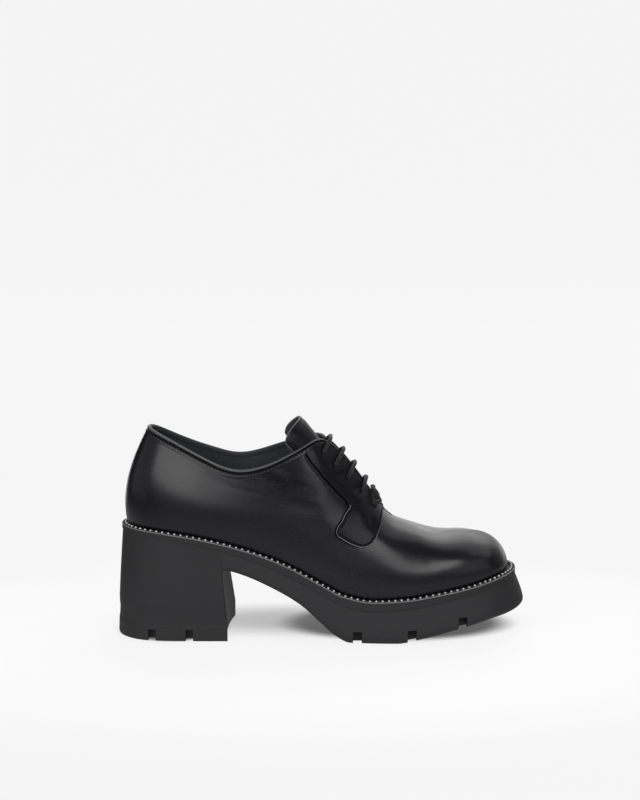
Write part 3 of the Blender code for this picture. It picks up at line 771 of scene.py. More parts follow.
def make_upper(leather, lining):
    """Shell of the upper: rows up the skin, over the top edge in a half round, and down the lining.

    On the vamp and toe the two sides meet on the ridge, so the rows over the top edge end at the throat.
    """
    columns = 20 * TURN
    t = np.linspace(0, TURN, columns + 1)[None, :]
    rise = np.linspace(0, 1, 117)[:, None]
    outer = skin(t, rise - 0.1 * np.sin(2 * np.pi * rise))
    inner = wall(t, np.linspace(1, 0, 25)[:, None], np.full((25, columns + 1), -UPPER_WALL))
    turn = np.linspace(0, np.pi, 7)[1:-1, None, None]
    middle, half = (outer[-1] + inner[0]) / 2, (outer[-1] - inner[0]) / 2
    up = unit(outer[-1] - outer[-2])
    over = middle + half * np.cos(turn) + 0.6 * up * np.sin(turn)
    points = np.concatenate([outer, over, inner, outer[:1]])
    faces = quads(len(points), columns + 1)
    row = np.repeat(np.arange(len(points) - 1), columns)
    column = np.tile(np.arange(columns), len(points) - 1)
    top = (row >= len(outer) - 1) & (row < len(outer) + len(over))
    shut = is_closed(t[0])
    keep = ~top | ~(shut[column] & shut[column + 1])
    inside = row >= len(outer) + len(over) // 2
    finishes, part = (leather, lining), inside[keep]
    piece("upper", points, faces[keep], finishes, ("upper",), weld=4e-6, part=part)


def round_tube(path, side, over, radius):
    """Tube around a path, from its radius at each point of the path and each corner of its ring."""
    turn = np.linspace(0, 2 * np.pi, radius.shape[1])[:, None]
    ring = np.cos(turn) * side[:, None] + np.sin(turn) * over[:, None]
    return path[:, None] + radius[..., None] * ring


def make_topline_roll(leather, painted_shade, lining, painted_highlight):
    """Rolled edge of the collar: a profile carried along the top edge, from the lining over to the skin.

    Under the roll lies a stitched groove, and the leather below it puckers at each stitch.
    """
    count, around = 1150, 44
    t = np.linspace(-THROAT_CORNER - 0.1, THROAT_CORNER + 0.1, count)[:, None]
    profile = smooth_curve([(row.fall, row.out) for row in ROLL_PROFILE], np.linspace(0, 1, around))
    fall, out = profile[None, :, 0], profile[None, :, 1]
    top, normal = bare_wall(t, np.ones((count, 1))), wall_normal(t, np.ones((count, 1)))
    dip = top - bare_wall(t, np.full((count, 1), 1 - TOP_STEP))
    along = lengths_along(top[:, 0])[:, None]
    on_eyestay = smooth_step(EYESTAY_TOP - 0.15, EYESTAY_TOP + 0.05, np.abs(t))
    pucker = PUCKER * np.cos(2 * np.pi * along / STITCH_PITCH) * bell(fall - LINING_ROW, 0.6)
    pucker = pucker * (1 - on_eyestay)
    out = out + pucker + EYESTAY_THICKNESS * on_eyestay * np.clip((out + UPPER_WALL) / UPPER_WALL, 0, 1)
    ends = np.sqrt(np.clip(1 - smooth_step(THROAT_CORNER - 0.25, THROAT_CORNER + 0.1, np.abs(t)), 1e-6, 1))
    fall, out = 0.4 + (fall - 0.4) * ends, -0.6 + (out + 0.6) * ends
    place = np.clip(below_top(t, np.maximum(fall, 0)), 0, 1)
    points = bare_wall(t, place) + normal * out[..., None] - unit(dip) * np.minimum(fall, 0)[..., None]
    points = np.concatenate([points, points[:, :1]], 1)
    # The stitched groove's valley is painted black as shade, and the roll's crest is painted pale as a
    # highlight
    valley = (profile[:, 0] > 1.25) & (profile[:, 0] < 2.15) & (profile[:, 1] > -0.9)
    lined = (profile[:, 0] > -0.3) & (profile[:, 1] < -1.9)
    crest = (profile[:, 0] < 0.7) & (profile[:, 1] > -1.4)
    part = np.tile(np.select([lined, valley & np.roll(valley, -1), crest], [2, 1, 3], 0), count - 1)
    finishes = (leather, painted_shade, lining, painted_highlight)
    piece("topline_roll", points, quads(count, around + 1), finishes, part=part)


def eyestay_edges(medial, share):
    """Rear and front edges of the eyestay as (t, v) at shares from the topline to the foot of the tab."""
    size = np.array(FACING_SIZE)
    rear = wall_place(EYESTAY_REAR, medial) * size
    rear[0, 1] = size[1]
    count = 24
    throat = np.stack([np.linspace(rear[0, 0] / size[0], THROAT_FOOT, count), np.ones(count)], -1)
    front = np.concatenate([throat, wall_place(EYESTAY_FRONT, medial)]) * size
    front[-1] = rear[-1]

    def read(points, corner):
        along = lengths_along(points)
        turn = along[corner] / along[-1]
        past = np.where(share < 0.5, 2 * share * turn, turn + (2 * share - 1) * (1 - turn))
        return smooth_curve(points, past)

    return read(rear, EYESTAY_NOTCH) / size, read(front, count - 1) / size


def distance_to(points, line):
    """Distance of each point to the nearest point of a line."""
    flat = points.reshape(-1, 3)
    squares = (flat**2).sum(1)[:, None] + (line**2).sum(1)[None, :] - 2 * flat @ line.T
    return np.sqrt(np.maximum(squares.min(1), 0)).reshape(points.shape[:-1])


def eyestay_height(face, inward, sewn, blind):
    """Height of the eyestay over the skin by the distance in from its edge, which is negative outside.

    Outside, the skin puffs up beside the blind seam; inside are the rounded edge, a groove along the
    sewn edges, the pulls of the lacing and the lace holes.
    """
    inside, outside = np.maximum(inward, 0.0), np.maximum(-inward, 0.0)
    height = EYESTAY_THICKNESS * round_edge(inside, 0.7)
    height -= 0.30 * bell(sewn - EDGE_ROW, 0.45)
    within = smooth_step(0.5, 3.0, inside)
    for pull in PULLS:
        turn = np.radians(pull.turn)
        x, z = face[..., 0] - pull.x, face[..., 2] - pull.z
        along, across = x * np.cos(turn) + z * np.sin(turn), z * np.cos(turn) - x * np.sin(turn)
        height += within * pull.height * np.exp(-((along / pull.along) ** 2) - (across / pull.across) ** 2)
    for hole in LACE_HOLES:
        from_hole = np.hypot(face[..., 0] - hole.x, face[..., 2] - hole.z)
        height -= 0.35 * bell(from_hole, 3.6) + 0.65 * bell(from_hole, 1.5)
    fall = round_edge(outside, 0.9)
    puff = blind * (SEAM_PUFF * smooth_step(SEAM_STRIP, 1.3, outside) * fall - 0.05) + 0.03
    return np.where(inward < 0, puff, np.maximum(height, 0.02))


def slide(t, v, shift):
    """Loop places and height shares moved by a shift in millimetres along the last's face."""
    step = 1e-3
    here = bare_wall(t, v)
    by_t = (bare_wall(t + step, v) - here) / step
    by_v = (here - bare_wall(t, v - step)) / step
    tt, vv, tv = (by_t**2).sum(-1), (by_v**2).sum(-1), (by_t * by_v).sum(-1)
    on_t, on_v = (by_t * shift).sum(-1), (by_v * shift).sum(-1)
    area = tt * vv - tv**2
    return t + (on_t * vv - on_v * tv) / area, v + (on_v * tt - on_t * tv) / area


def make_eyestay(name, medial, leather, painted_shade, painted_highlight):
    """Facing with its tab: lines drawn from the rear edge to the front edge over the skin, two faces deep.

    A strip of puffed skin runs along the blind rear seam, a narrow one round the tab, and the outer
    border of both sinks into the skin. The foot of the edge and the stitch groove are painted black as
    shade, and the rim between them is painted pale as a highlight.
    """
    rows, columns, strip = 241, 71, 20
    down = np.linspace(0, 1, rows)
    rear, front = eyestay_edges(medial, down)
    share = (0.5 - 0.5 * np.cos(np.linspace(0, np.pi, columns)))[None, :, None]
    place = rear[:, None] * (1 - share) + front[:, None] * share
    t, v = on_side(place[..., 0], medial), place[..., 1]
    face = bare_wall(t, v)
    inward = distance_to(face, np.concatenate([face[:, 0], face[:, -1]]))
    inward[:, [0, -1]] = 0.0
    inward[[0, -1]] = 0.0
    run = unit(np.gradient(face[:, 0], axis=0))
    outward = np.cross(run, wall_normal(t[:, 0], v[:, 0])) * (-1 if medial else 1)
    blind = smooth_step(0.02, 0.18, down) * (1 - smooth_step(0.46, 0.52, down))
    reach = (1.1 + (SEAM_STRIP - 1.1) * blind) * (1 - smooth_step(0.90, 1.0, down)) + 0.02
    wide = np.linspace(1, 0, strip + 1)[None, :-1] ** 1.5 * reach[:, None]
    strip_t, strip_v = slide(t[:, :1], v[:, :1], outward[:, None] * wide[..., None])
    t, v = np.concatenate([strip_t, t], 1), np.clip(np.concatenate([strip_v, v], 1), 0.0, 1.0)
    inward = np.concatenate([-wide, inward], 1)
    sewn = distance_to(bare_wall(t, v), np.concatenate([face[rows // 2 :, 0], face[:, -1]]))
    height = eyestay_height(bare_wall(t, v), inward, sewn, blind[:, None])
    height[:, 0] = -0.9
    sunk = np.full(t.shape, -0.9)
    sunk[:, -1] = height[:, -1]
    points = np.concatenate([skin(t, v, height).reshape(-1, 3), skin(t, v, sunk).reshape(-1, 3)])
    faces = quads(*t.shape)
    middle, seam = inward.ravel()[faces].mean(1), sewn.ravel()[faces].mean(1)
    # Painted shade at the foot of the edge and in the stitch groove; painted highlight on the rim between
    # them
    shade_painted = (middle > -0.7) & (middle < 0.18) | (middle > 0) & (np.abs(seam - EDGE_ROW) < 0.32)
    highlight_painted = (middle > 0.18) & (seam < 0.55)
    part = np.concatenate([np.where(highlight_painted, 2, shade_painted), np.zeros(len(faces), int)])
    faces = np.concatenate([faces, faces[:, ::-1] + t.size])
    piece(name, points, faces, (leather, painted_shade, painted_highlight), (name,), weld=8e-6, part=part)


def tongue_face(along, around):
    """Outer face of the tongue: an arch of changing radius swept up the ridge line."""
    along = along * (1 + 0.012 * around - 0.02 * around**2 - 0.05 * around**8) * (len(TONGUE) - 1)
    knots = np.arange(len(TONGUE))
    x, z, radius, spread = (monotone(knots, column, along) for column in np.array(TONGUE).T)
    step = 1e-2
    rise_x = monotone(knots, [row.x for row in TONGUE], along + step) - x
    rise_z = monotone(knots, [row.z for row in TONGUE], along + step) - z
    length = np.hypot(rise_x, rise_z)
    angle = np.radians(spread) * around
    sag = radius * (1 - np.cos(angle))
    return np.stack([x - sag * rise_z / length, radius * np.sin(angle), z + sag * rise_x / length], -1)


def tongue_normal(along, around):
    """Way out from the tongue's face."""
    step = 1e-3
    rise = tongue_face(along + step, around) - tongue_face(along - step, around)
    turn = tongue_face(along, around + step) - tongue_face(along, around - step)
    return unit(np.cross(rise, turn))


def make_tongue(leather, lining, painted_highlight):
    """Tongue: two faces that thin to a rim painted pale as a highlight, a groove inside it, a lining and
    room for the lace.
    """
    across = np.sin(np.linspace(-np.pi / 2, np.pi / 2, 91))
    along, around = np.meshgrid(np.linspace(0, 1, 131), across, indexing="ij")
    face, normal = tongue_face(along, around), tongue_normal(along, around)
    normal *= np.sign(normal[..., 2:].mean())
    edge = np.concatenate([face[:, 0], face[-1], face[:, -1], face[0]])
    inward = distance_to(face, edge)
    bulge = round_edge(inward, 0.5) * (0.45 + 0.55 * smooth_step(0.5, 5.0, inward))
    row = 0.2 * bell(inward - TONGUE_ROW, 0.45)
    press = 2.4 * smooth_step(0.42, 0.62, np.abs(around)) * (1 - smooth_step(0.66, 0.80, along))
    half = TONGUE_THICKNESS / 2
    outer = face + normal * (half * (bulge - 1) - row - press)[..., None]
    inner = face - normal * (half * (bulge + 1) - row + press)[..., None]
    rows, columns = along.shape
    faces = quads(rows, columns)
    points = np.concatenate([outer.reshape(-1, 3), inner.reshape(-1, 3)])
    # The rim gets the pale finish: a painted highlight
    rim = inward.ravel()[faces].mean(1) < 0.45
    part = np.concatenate([np.where(rim, 2, 0), np.where(rim, 2, 1)])
    faces = np.concatenate([faces, faces[:, ::-1] + rows * columns])
    finishes = (leather, lining, painted_highlight)
    piece("tongue", points, faces, finishes, ("tongue",), weld=8e-6, part=part)


def carry_frames(path):
    """Side and over ways carried along a path with the least turning from point to point."""
    run = unit(np.gradient(path, axis=0))
    side = np.empty_like(path)
    side[0] = unit(np.cross(run[0], [0.3, 0.2, 0.9]))
    for k in range(1, len(path)):
        side[k] = side[k - 1] - run[k] * (side[k - 1] @ run[k])
        side[k] /= np.linalg.norm(side[k])
    return side, np.cross(run, side)


def lace_route():
    """Route of the lace from one hidden end to the other, both just behind the top holes.

    Straight bars cross the throat, and the lace climbs from bar to bar behind the facings.
    """
    holes = wall_place(LACE_HOLES)
    edge = np.linspace(*THROAT_RUN, 200)
    top = bare_wall(edge, np.ones_like(edge))

    def side_of(k, medial):
        hole, target = holes[k], LACE_HOLES[k]
        lowest = k == len(LACE_HOLES) - 1
        lift = LOW_BAR_LIFT if lowest else 0.0
        off = top[:, ::2] - (target.x + LACE_RISE.x - lift / 2, target.z + LACE_RISE.z + lift)
        place = edge[np.hypot(*off.T).argmin()]
        share = np.array([0.0, 0.0, 0.14, 0.42, 0.74, 1.0])
        rise = np.array([-1.6, 0.6, 2.1, 2.45, 2.55, 2.6])
        rise = rise + (0.9 * np.sin(np.pi * share) if lowest else 0.0)
        t = hole[0] + (place - hole[0]) * share + (LOW_BAR_BOW * np.sin(np.pi * share) if lowest else 0.0)
        v = hole[1] + (0.995 - hole[1]) * share
        return wall(on_side(t, medial), v, rise)

    def behind(k, medial, drop):
        t, v = holes[k]
        return wall(np.array([on_side(t, medial)]), np.array([v + drop]), np.array([-LACE_DEPTH]))

    def bar(k, from_medial):
        first, second = side_of(k, from_medial), side_of(k, not from_medial)
        middle = (first[-1] + second[-1]) / 2 + np.array([0.7, 0.0, 0.9])
        return np.concatenate([first, [middle], second[::-1]])

    up, down = 0.045, -0.045
    order = ((1, down, down), (3, up, down), (4, up, up), (2, down, up), (0, down, down))
    route = [behind(0, False, down)]
    for turn, (k, before, after) in enumerate(order):
        medial = turn % 2 == 1
        route += [behind(k, medial, before), bar(k, medial), behind(k, not medial, after)]
    return np.concatenate(route)


def make_lace(cord):
    """Round braided lace: crossing diagonal strands raised on a tube along its route."""
    route = lace_route()
    count = int(lengths_along(route)[-1] / 0.28)
    path = smooth_curve(route, np.linspace(0, 1, count))
    side, over = carry_frames(path)
    sides = 18
    turn = np.linspace(0, 2 * np.pi, sides + 1)[None, :]
    along = lengths_along(path)[:, None]
    strands = np.abs(np.sin(2 * turn + along * np.pi / 1.5) * np.sin(2 * turn - along * np.pi / 1.5))
    radius = LACE_RADIUS * (0.90 + 0.14 * strands)
    ends = np.sqrt(np.clip(np.minimum(along, along[-1] - along), 0.0, 1.0))
    points = round_tube(path, side, over, radius * ends + 0.002)
    bars = [f"lace_bar_{k}" for k in range(1, len(LACE_HOLES) + 1)]
    piece("lace", points, quads(count, sides + 1), (cord,), bars)


def make_bead_chain(metal, cord):
    """Beads at equal steps round the feather edge, strung on a thin dark cord."""
    t = np.linspace(0, TURN, 2801)
    plan, height = feather(t, BEAD_OFFSET + toe_welt(t))[2:]
    path = np.column_stack([plan, height + BEAD_DIAMETER / 2 - 0.05])
    (middles,) = evenly(path, BEAD_PITCH)
    turns = np.linspace(-np.pi / 2, np.pi / 2, 7), np.linspace(0, 2 * np.pi, 9)
    lift, turn = np.meshgrid(*turns, indexing="ij")
    ball = np.stack([np.cos(lift) * np.cos(turn), np.cos(lift) * np.sin(turn), np.sin(lift)], -1)
    ball = ball.reshape(-1, 3)
    beads = middles[:, None] + ball * BEAD_DIAMETER / 2
    faces = copies(quads(7, 9), len(middles), len(ball))
    piece("bead_chain_beads", beads, faces, (metal,), ("bead_chain",))
    line = path[::2]
    run = unit(np.roll(line[:-1], -1, 0) - np.roll(line[:-1], 1, 0))
    run = np.concatenate([run, run[:1]])
    side = unit(np.cross(run, [0.0, 0.0, 1.0]))
    tube = round_tube(line, side, np.cross(side, run), np.full((len(line), 7), BEAD_CORD_RADIUS))
    piece("bead_chain_cord", tube, quads(len(line), 7), (cord,))


def stitch_row(path, normal, rows):
    """Adds a row of stitches: short arched threads at equal steps along a path on a surface."""
    middles, over = evenly(path, STITCH_PITCH, normal)
    way = unit(np.gradient(middles, axis=0))
    over = unit(over - way * (over * way).sum(-1, keepdims=True))
    share = np.linspace(-1, 1, 6)[:, None]
    turn = np.linspace(0, 2 * np.pi, 7)[None, :]
    thin = STITCH_RADIUS * np.sqrt(np.clip(1 - share**4, 0.0, 1.0)) + 0.005
    along = share * STITCH_LENGTH / 2 + 0 * turn
    beside = thin * np.cos(turn)
    above = thin * np.sin(turn) + 0.16 * (1 - share**2) - 0.12
    side = np.cross(way, over)
    local = np.stack([along, beside, above], -1).reshape(-1, 3)
    rows.append(np.einsum("kc,ncd->nkd", local, np.stack([way, side, over], 1)))
    rows[-1] += middles[:, None]


def sew_upper(thread):
    """Stitch rows of the upper: under the collar's roll inside and out, and inside the eyestays' edges.

    The rear seam of the facing is sewn blind down to its notch, so its row starts there.
    """
    rows = []
    t = np.linspace(0.2 - EYESTAY_TOP, EYESTAY_TOP - 0.2, 900)
    share = below_top(t, TOPLINE_ROW)
    normal = wall_normal(t, share)
    stitch_row(bare_wall(t, share) - normal * 0.40, normal, rows)
    share = below_top(t, LINING_ROW)
    stitch_row(bare_wall(t, share) - normal * (UPPER_WALL + 0.04), -normal, rows)
    sewn_from, second = 235, slice(8, 110)
    for medial in (False, True):
        rear, front = eyestay_edges(medial, np.linspace(0, 1, 500))
        start = np.abs(front[:, 0] - THROAT_CORNER).argmin()
        outline = np.concatenate([rear[sewn_from:], front[start:-1][::-1]])
        t, v = on_side(outline[:, 0], medial), outline[:, 1]
        edge, normal = bare_wall(t, v), wall_normal(t, v)
        run = unit(np.gradient(edge, axis=0))
        inward = np.cross(run, normal) * (1 if medial else -1)
        raised = normal * (EYESTAY_THICKNESS - 0.1)
        stitch_row(edge + inward * EDGE_ROW + raised, normal, rows)
        stitch_row((edge + inward * SECOND_ROW + raised)[second], normal[second], rows)
        bar = wall_place(BAR_TACK, medial)
        t, v = np.linspace(*bar, 40).T
        t = on_side(t, medial)
        normal = wall_normal(t, v)
        stitch_row(bare_wall(t, v) + normal * (EYESTAY_THICKNESS + 0.15), normal, rows)
    stitches = np.concatenate(rows)
    faces = copies(quads(6, 7), *stitches.shape[:2])
    piece("upper_stitching", stitches, faces, (thread,))


def side_rows(places, in_heel, medial):
    """Side wall of the sole at columns of constant x: rows down to the notch roof, then to the tread.

    Inside a notch the lower rows run in under its roof and down its inner wall instead.
    """
    upper_rows, lower_rows, notches = 18, 16, FOREFOOT_NOTCHES
    loop = on_side(places, medial)
    here, _, _, height = feather(loop)
    x = here[:, 0]
    top = height - level_at(BAND, x) - 0.1
    from_breast = np.clip(x - HEEL_BREAST_X - HEEL_BREAST_GAP, 0, HEEL_BREAST_ROUND)
    under = HEEL_BREAST_ROUND - np.sqrt(HEEL_BREAST_ROUND**2 - (HEEL_BREAST_ROUND - from_breast) ** 2)
    tread = level_at(TREAD, np.maximum(x, TREAD[0].x + 0.1)) - under
    foot = np.where(in_heel, TOP_PIECE_HEIGHT + 0.05, tread)
    split = np.where(in_heel, HEEL_SPLIT, 1 - notches.height / (top - foot))[:, None]
    lower = np.sin(np.linspace(0, np.pi / 2, lower_rows + 1)[1:])
    depth = np.concatenate([split * np.linspace(0, 1, upper_rows), split + (1 - split) * lower], 1)
    spread = level_at(SIDE_WALL, depth)
    spread = np.where(in_heel[:, None], np.maximum(spread, depth), spread)
    flat = smooth_step(*HEEL_BEND, x) * (1 - smooth_step(*TOE_BEND, x))
    plan = upright(loop, SOLE_LEDGE + toe_welt(loop)[:, None] + spread * here[:, FLARE, None], x, flat)
    z = top[:, None] + (foot - top)[:, None] * depth
    rows = np.concatenate([plan, z[..., None]], -1)
    return cut_notches(rows, np.where(in_heel, FAR, x), foot, notches, upper_rows, lower_rows)


def upright(loop, offset, x, flat):
    """Plan of the edge moved out by offset, with places slid along the loop so that x stays the same."""
    place = np.repeat(loop[:, None], offset.shape[1], 1)
    step = 1e-3
    for _ in range(4):
        now = feather(place, offset)[2][..., 0]
        slope = (feather(place + step, offset)[2][..., 0] - now) / step
        slope = np.where(np.abs(slope) < 1.0, 1e9, slope)
        place = place + flat[:, None] * np.clip((x[:, None] - now) / slope, -0.2, 0.2)
    return feather(place, offset)[2]


def cut_notches(rows, x, foot, notches, upper_rows, lower_rows):
    """Turns the lower rows of the columns inside a notch in under its roof and down its inner wall."""
    for middle in notches.middles:
        inside = np.abs(x - middle) < notches.length / 2
        ledge = rows[inside, 0, 1]
        deep = ledge.mean() - np.sign(ledge.mean()) * notches.reach
        roof = np.interp(middle, x[inside], foot[inside]) + notches.height
        under = lower_rows // 2
        share = np.linspace(0, 1, under + 1)[1:]
        lip = rows[inside, upper_rows - 1, 1][:, None]
        rows[inside, upper_rows - 1, 2] = roof
        rows[inside, upper_rows : upper_rows + under, 1] = lip + (deep - lip) * share
        rows[inside, upper_rows : upper_rows + under, 2] = roof
        fall = np.linspace(0, 1, lower_rows - under + 1)[1:]
        rows[inside, upper_rows + under :, 1] = deep
        rows[inside, upper_rows + under :, 2] = roof + (foot[inside][:, None] - roof) * fall
        rows[inside, upper_rows:, 0] = x[inside][:, None]
    return rows


def notch_places(first, last, count, notches):
    """Loop places from first to last, with close pairs of columns at the sides of each notch."""
    half, gap = notches.length / 2, 0.04
    sides = [m + s * half + e for m in notches.middles for s in (-1, 1) for e in (-gap, gap)]
    return np.sort(np.concatenate([np.linspace(first, last, count), place_at(np.array(sides))]))


def sole_loft(lateral, medial, top_count, bottom_count, hollow, groove=None):
    """Closed sections: up the lateral wall, across, down the medial wall, and back under the tread.

    The line under the tread is drawn back by the hollow, most in the middle, and lifted by its grooves.
    """

    def across(first, second, count):
        share = between(count)[:, None]
        return first[:, None] * (1 - share) + second[:, None] * share

    above = across(lateral[:, 0], medial[:, 0], top_count)
    below = across(medial[:, -1], lateral[:, -1], bottom_count)
    below[..., 0] -= hollow[:, None] * arch(between(bottom_count))
    if groove:
        below[..., 2] += groove(below)
    return np.concatenate([lateral[:, ::-1], above, medial, below, lateral[:, -1:]], 1)


def tread_grooves(face):
    """Fine tread: shallow channels across the forefoot between the notches, and one lengthwise pair."""
    x, y = face[..., 0], face[..., 1]
    cross = sum(bell(x - place, 1.6) ** 2 for place in CROSS_GROOVES)
    fore = smooth_step(2.0, 8.0, x) * (1 - smooth_step(94.0, 104.0, x))
    lengthwise = sum(bell(y - place, 1.5) ** 2 for place in LONG_GROOVES)
    return GROOVE_DEPTH * np.minimum(cross + lengthwise, 1.0) * fore


def make_sole_unit(rubber):
    """Sole with its heel block: sections from the back of the heel to the breast, then on to the toe."""
    heel = np.linspace(0, place_at(HEEL_BREAST_X - HEEL_BREAST_GAP), 110)
    fore = notch_places(place_at(HEEL_BREAST_X + HEEL_BREAST_GAP), TOE, 330, FOREFOOT_NOTCHES)
    turn = np.linspace(0, np.pi / 2, 14)[1:]
    curve = HEEL_BREAST_X + HEEL_BREAST_GAP + HEEL_BREAST_ROUND * (1 - np.cos(turn))
    fore = np.sort(np.concatenate([fore, place_at(curve)]))
    places = np.concatenate([heel, fore])
    in_heel = np.arange(len(places)) < len(heel)
    x = last_row(places)[:, 0]
    hollow = HEEL_BREAST_HOLLOW * np.where(
        in_heel, smooth_step(HOLLOW_START, HEEL_BREAST_X, x), 1 - smooth_step(HEEL_BREAST_X, HOLLOW_END, x)
    )
    walls = [side_rows(places, in_heel, medial) for medial in (False, True)]
    fall = np.linspace(0, 1, walls[0].shape[1])[None, :]
    lean = np.where(in_heel, smooth_step(LEAN_START, HEEL_BREAST_X - HEEL_BREAST_GAP, x), 0.0)
    lean = lean[:, None] * fall
    for rows, forward in zip(walls, HEEL_BREAST_LEAN):
        rows[..., 0] += lean * forward
    sections = sole_loft(*walls, 3, 40, hollow, tread_grooves)
    faces = quads(*sections.shape[:2])
    piece("sole_unit", sections, faces, (rubber,), ("sole_unit",), sharp=32)


def make_heel_top_piece(rubber):
    """Heel top piece: upright sides with a small round at the floor, side notches and a hollow breast."""
    places = notch_places(0, place_at(HEEL_BREAST_X - HEEL_BREAST_GAP), 130, HEEL_NOTCHES)
    x = last_row(places)[:, 0]
    upper_rows, lower_rows = 8, 14
    split = HEEL_NOTCHES.height
    fall = split * (1 - np.sin(np.linspace(0, np.pi / 2, lower_rows + 1)[1:]))
    height = np.concatenate([np.linspace(TOP_PIECE_HEIGHT, split, upper_rows), fall])
    levels = (0.0, 0.35, 1.2, TOP_PIECE_HEIGHT - 0.5, TOP_PIECE_HEIGHT)
    proud = np.interp(height, levels, (-0.5, 0.3, 0.6, 0.32, 0.0))
    hollow = HEEL_BREAST_HOLLOW * smooth_step(HOLLOW_START, HEEL_BREAST_X, x)
    lean = smooth_step(LEAN_START, HEEL_BREAST_X - HEEL_BREAST_GAP, x)[:, None]
    walls = []
    for medial in (False, True):
        loop = on_side(places, medial)
        offset = SOLE_LEDGE + last_row(loop)[:, FLARE, None] + proud[None, :]
        plan = upright(loop, offset, x, smooth_step(*HEEL_BEND, x))
        rows = np.concatenate([plan, np.broadcast_to(height[:, None], (*plan.shape[:2], 1))], -1)
        rows = cut_notches(rows, x, np.zeros(len(x)), HEEL_NOTCHES, upper_rows, lower_rows)
        rows[..., 0] += lean * HEEL_BREAST_LEAN[medial]
        walls.append(rows)
    count = 24
    sections = sole_loft(*walls, count, count, hollow)
    sections[:, len(height) : len(height) + count, 0] -= hollow[:, None] * arch(between(count))
    faces = quads(*sections.shape[:2])
    whole = np.linspace(0, 1, count + 2)[None, :, None]
    front = walls[0][-1][:, None] * (1 - whole) + walls[1][-1][:, None] * whole
    front[..., 0] -= hollow[-1] * arch(whole[..., 0])
    points = np.concatenate([sections.reshape(-1, 3), front.reshape(-1, 3)])
    faces = np.concatenate([faces, quads(len(height), count + 2) + sections.shape[0] * sections.shape[1]])
    piece("heel_top_piece", points, faces, (rubber,), ("heel_top_piece",), sharp=32)


def edge_plate(places, edge, crown, count):
    """Closed sections of a plate that follows the feather edge: its edge rows, and lines across."""
    walls = []
    for loop in (places, TURN - places):
        rows = []
        for offset, height, share in edge:
            welt = toe_welt(loop) if offset > 0 else np.zeros(len(places))
            here, _, plan, level = feather(loop, offset + welt)
            rows.append(np.column_stack([plan, level + height - share * level_at(BAND, here[:, 0])]))
        walls.append(np.stack(rows, 1))
    sections = sole_loft(*walls, count, 3, np.zeros(len(places)))
    sections[:, len(edge) : len(edge) + count, 2] += crown * arch(between(count))
    return sections


def make_midsole(rubber, painted_highlight):
    """Band of the midsole: a raised rim with a pale line painted on it as a highlight, a flat side and a
    round foot.
    """
    turn = np.linspace(0, np.pi, 11)
    rim = [(2.85 - 0.6 * np.cos(a), 0.1 + 0.6 * np.sin(a), 0.0) for a in turn]
    side = [(3.44, -0.5, 0.0), (3.42, -0.6, 0.2), (3.42, 0.0, 0.6)]
    foot = [(3.02 + 0.4 * np.cos(a), 0.4 - 0.4 * np.sin(a), 1.0) for a in turn[:6]]
    edge = [(1.4, -SEAM_GAP, 0.0), (2.2, -SEAM_GAP, 0.0)] + rim + side + foot
    sections = edge_plate(np.linspace(0, TOE, 420), edge, 0.0, 3)
    around = np.arange(sections.shape[1] - 1)
    # Faces of the rim's outer quarter get the pale finish: a painted highlight
    line = np.isin(around, len(edge) - 2 - RIM_LINE) | np.isin(around, len(edge) + 3 + RIM_LINE)
    part = np.tile(line, len(sections) - 1)
    faces = quads(*sections.shape[:2])
    piece("midsole", sections, faces, (rubber, painted_highlight), ("midsole",), sharp=50, part=part)


def make_insole(lining):
    """Insole: a thin padded sheet with a rounded edge."""
    turn = np.linspace(0, np.pi / 2, 6)
    edge = [(-3.4 + 0.9 * np.sin(a), INSOLE_THICKNESS - 0.9 + 0.9 * np.cos(a), 0.0) for a in turn]
    sections = edge_plate(np.linspace(0, TOE, 160), edge + [(-2.5, 0.0, 0.0)], 0.7, 25)
    faces = quads(*sections.shape[:2])
    piece("insole", sections, faces, (lining,), ("insole",), sharp=50)


# Soft boxes: place, target, width and height in metres, watts, roll about the own axis in degrees, shape
Box = namedtuple("Box", "name place target size watts roll shape")
BOXES = (
    Box("left_box", (-0.506, -0.66, 0.382), (-0.506, 0.0, 0.382), (0.94, 0.32), 2.8, -20, "RECTANGLE"),
    Box("right_box", (0.305, -0.66, 0.480), (0.305, 0.0, 0.480), (0.20, 0.70), 1.5, -30, "ELLIPSE"),
    Box("overhead_box", (0.9, 0.9, 1.7), (0.0, 0.0, 0.0), (3.4, 1.7), 12, 0, "RECTANGLE"),
    Box("side_box", (-1.3, -0.1, 0.35), (0.0, 0.0, 0.09), (1.2, 1.0), 1.0, 0, "RECTANGLE"),
    Box("fill_box", (1.2, -0.9, 0.45), (0.0, 0.0, 0.09), (1.6, 1.0), 2.2, 0, "RECTANGLE"),
)


def softbox(box):
    """Soft light that faces a target, rolled about its own axis and not in the picture itself."""
    lamp = bpy.data.lights.new(box.name, "AREA")
    lamp.shape = box.shape
    lamp.size, lamp.size_y = box.size
    lamp.energy = box.watts
    light = bpy.data.objects.new(box.name, lamp)
    light.location = box.place
    facing = (Vector(box.target) - Vector(box.place)).to_track_quat("-Z", "Y")
    light.rotation_euler = (facing @ Quaternion((0.0, 0.0, 1.0), np.radians(box.roll))).to_euler()
    light.visible_camera = False
    bpy.context.scene.collection.objects.link(light)


# Glow of the pale floor as it is seen: round the shoe, in the shade painted under it, and far behind it
FLOOR_GLOW = 0.83
SHADE_GLOW = 0.42
BACKDROP_GLOW = 0.907
# Glow of the floor round the shoe as the shoe is lit by it
FLOOR_LIGHT = 0.33
# Glow of the floor as it is seen where heel and forefoot stand: painted contact shade
CONTACT_SHADE_GLOW = 0.10
# Dim light of the room, also given by the sweep behind the camera
ROOM_LIGHT = 0.077
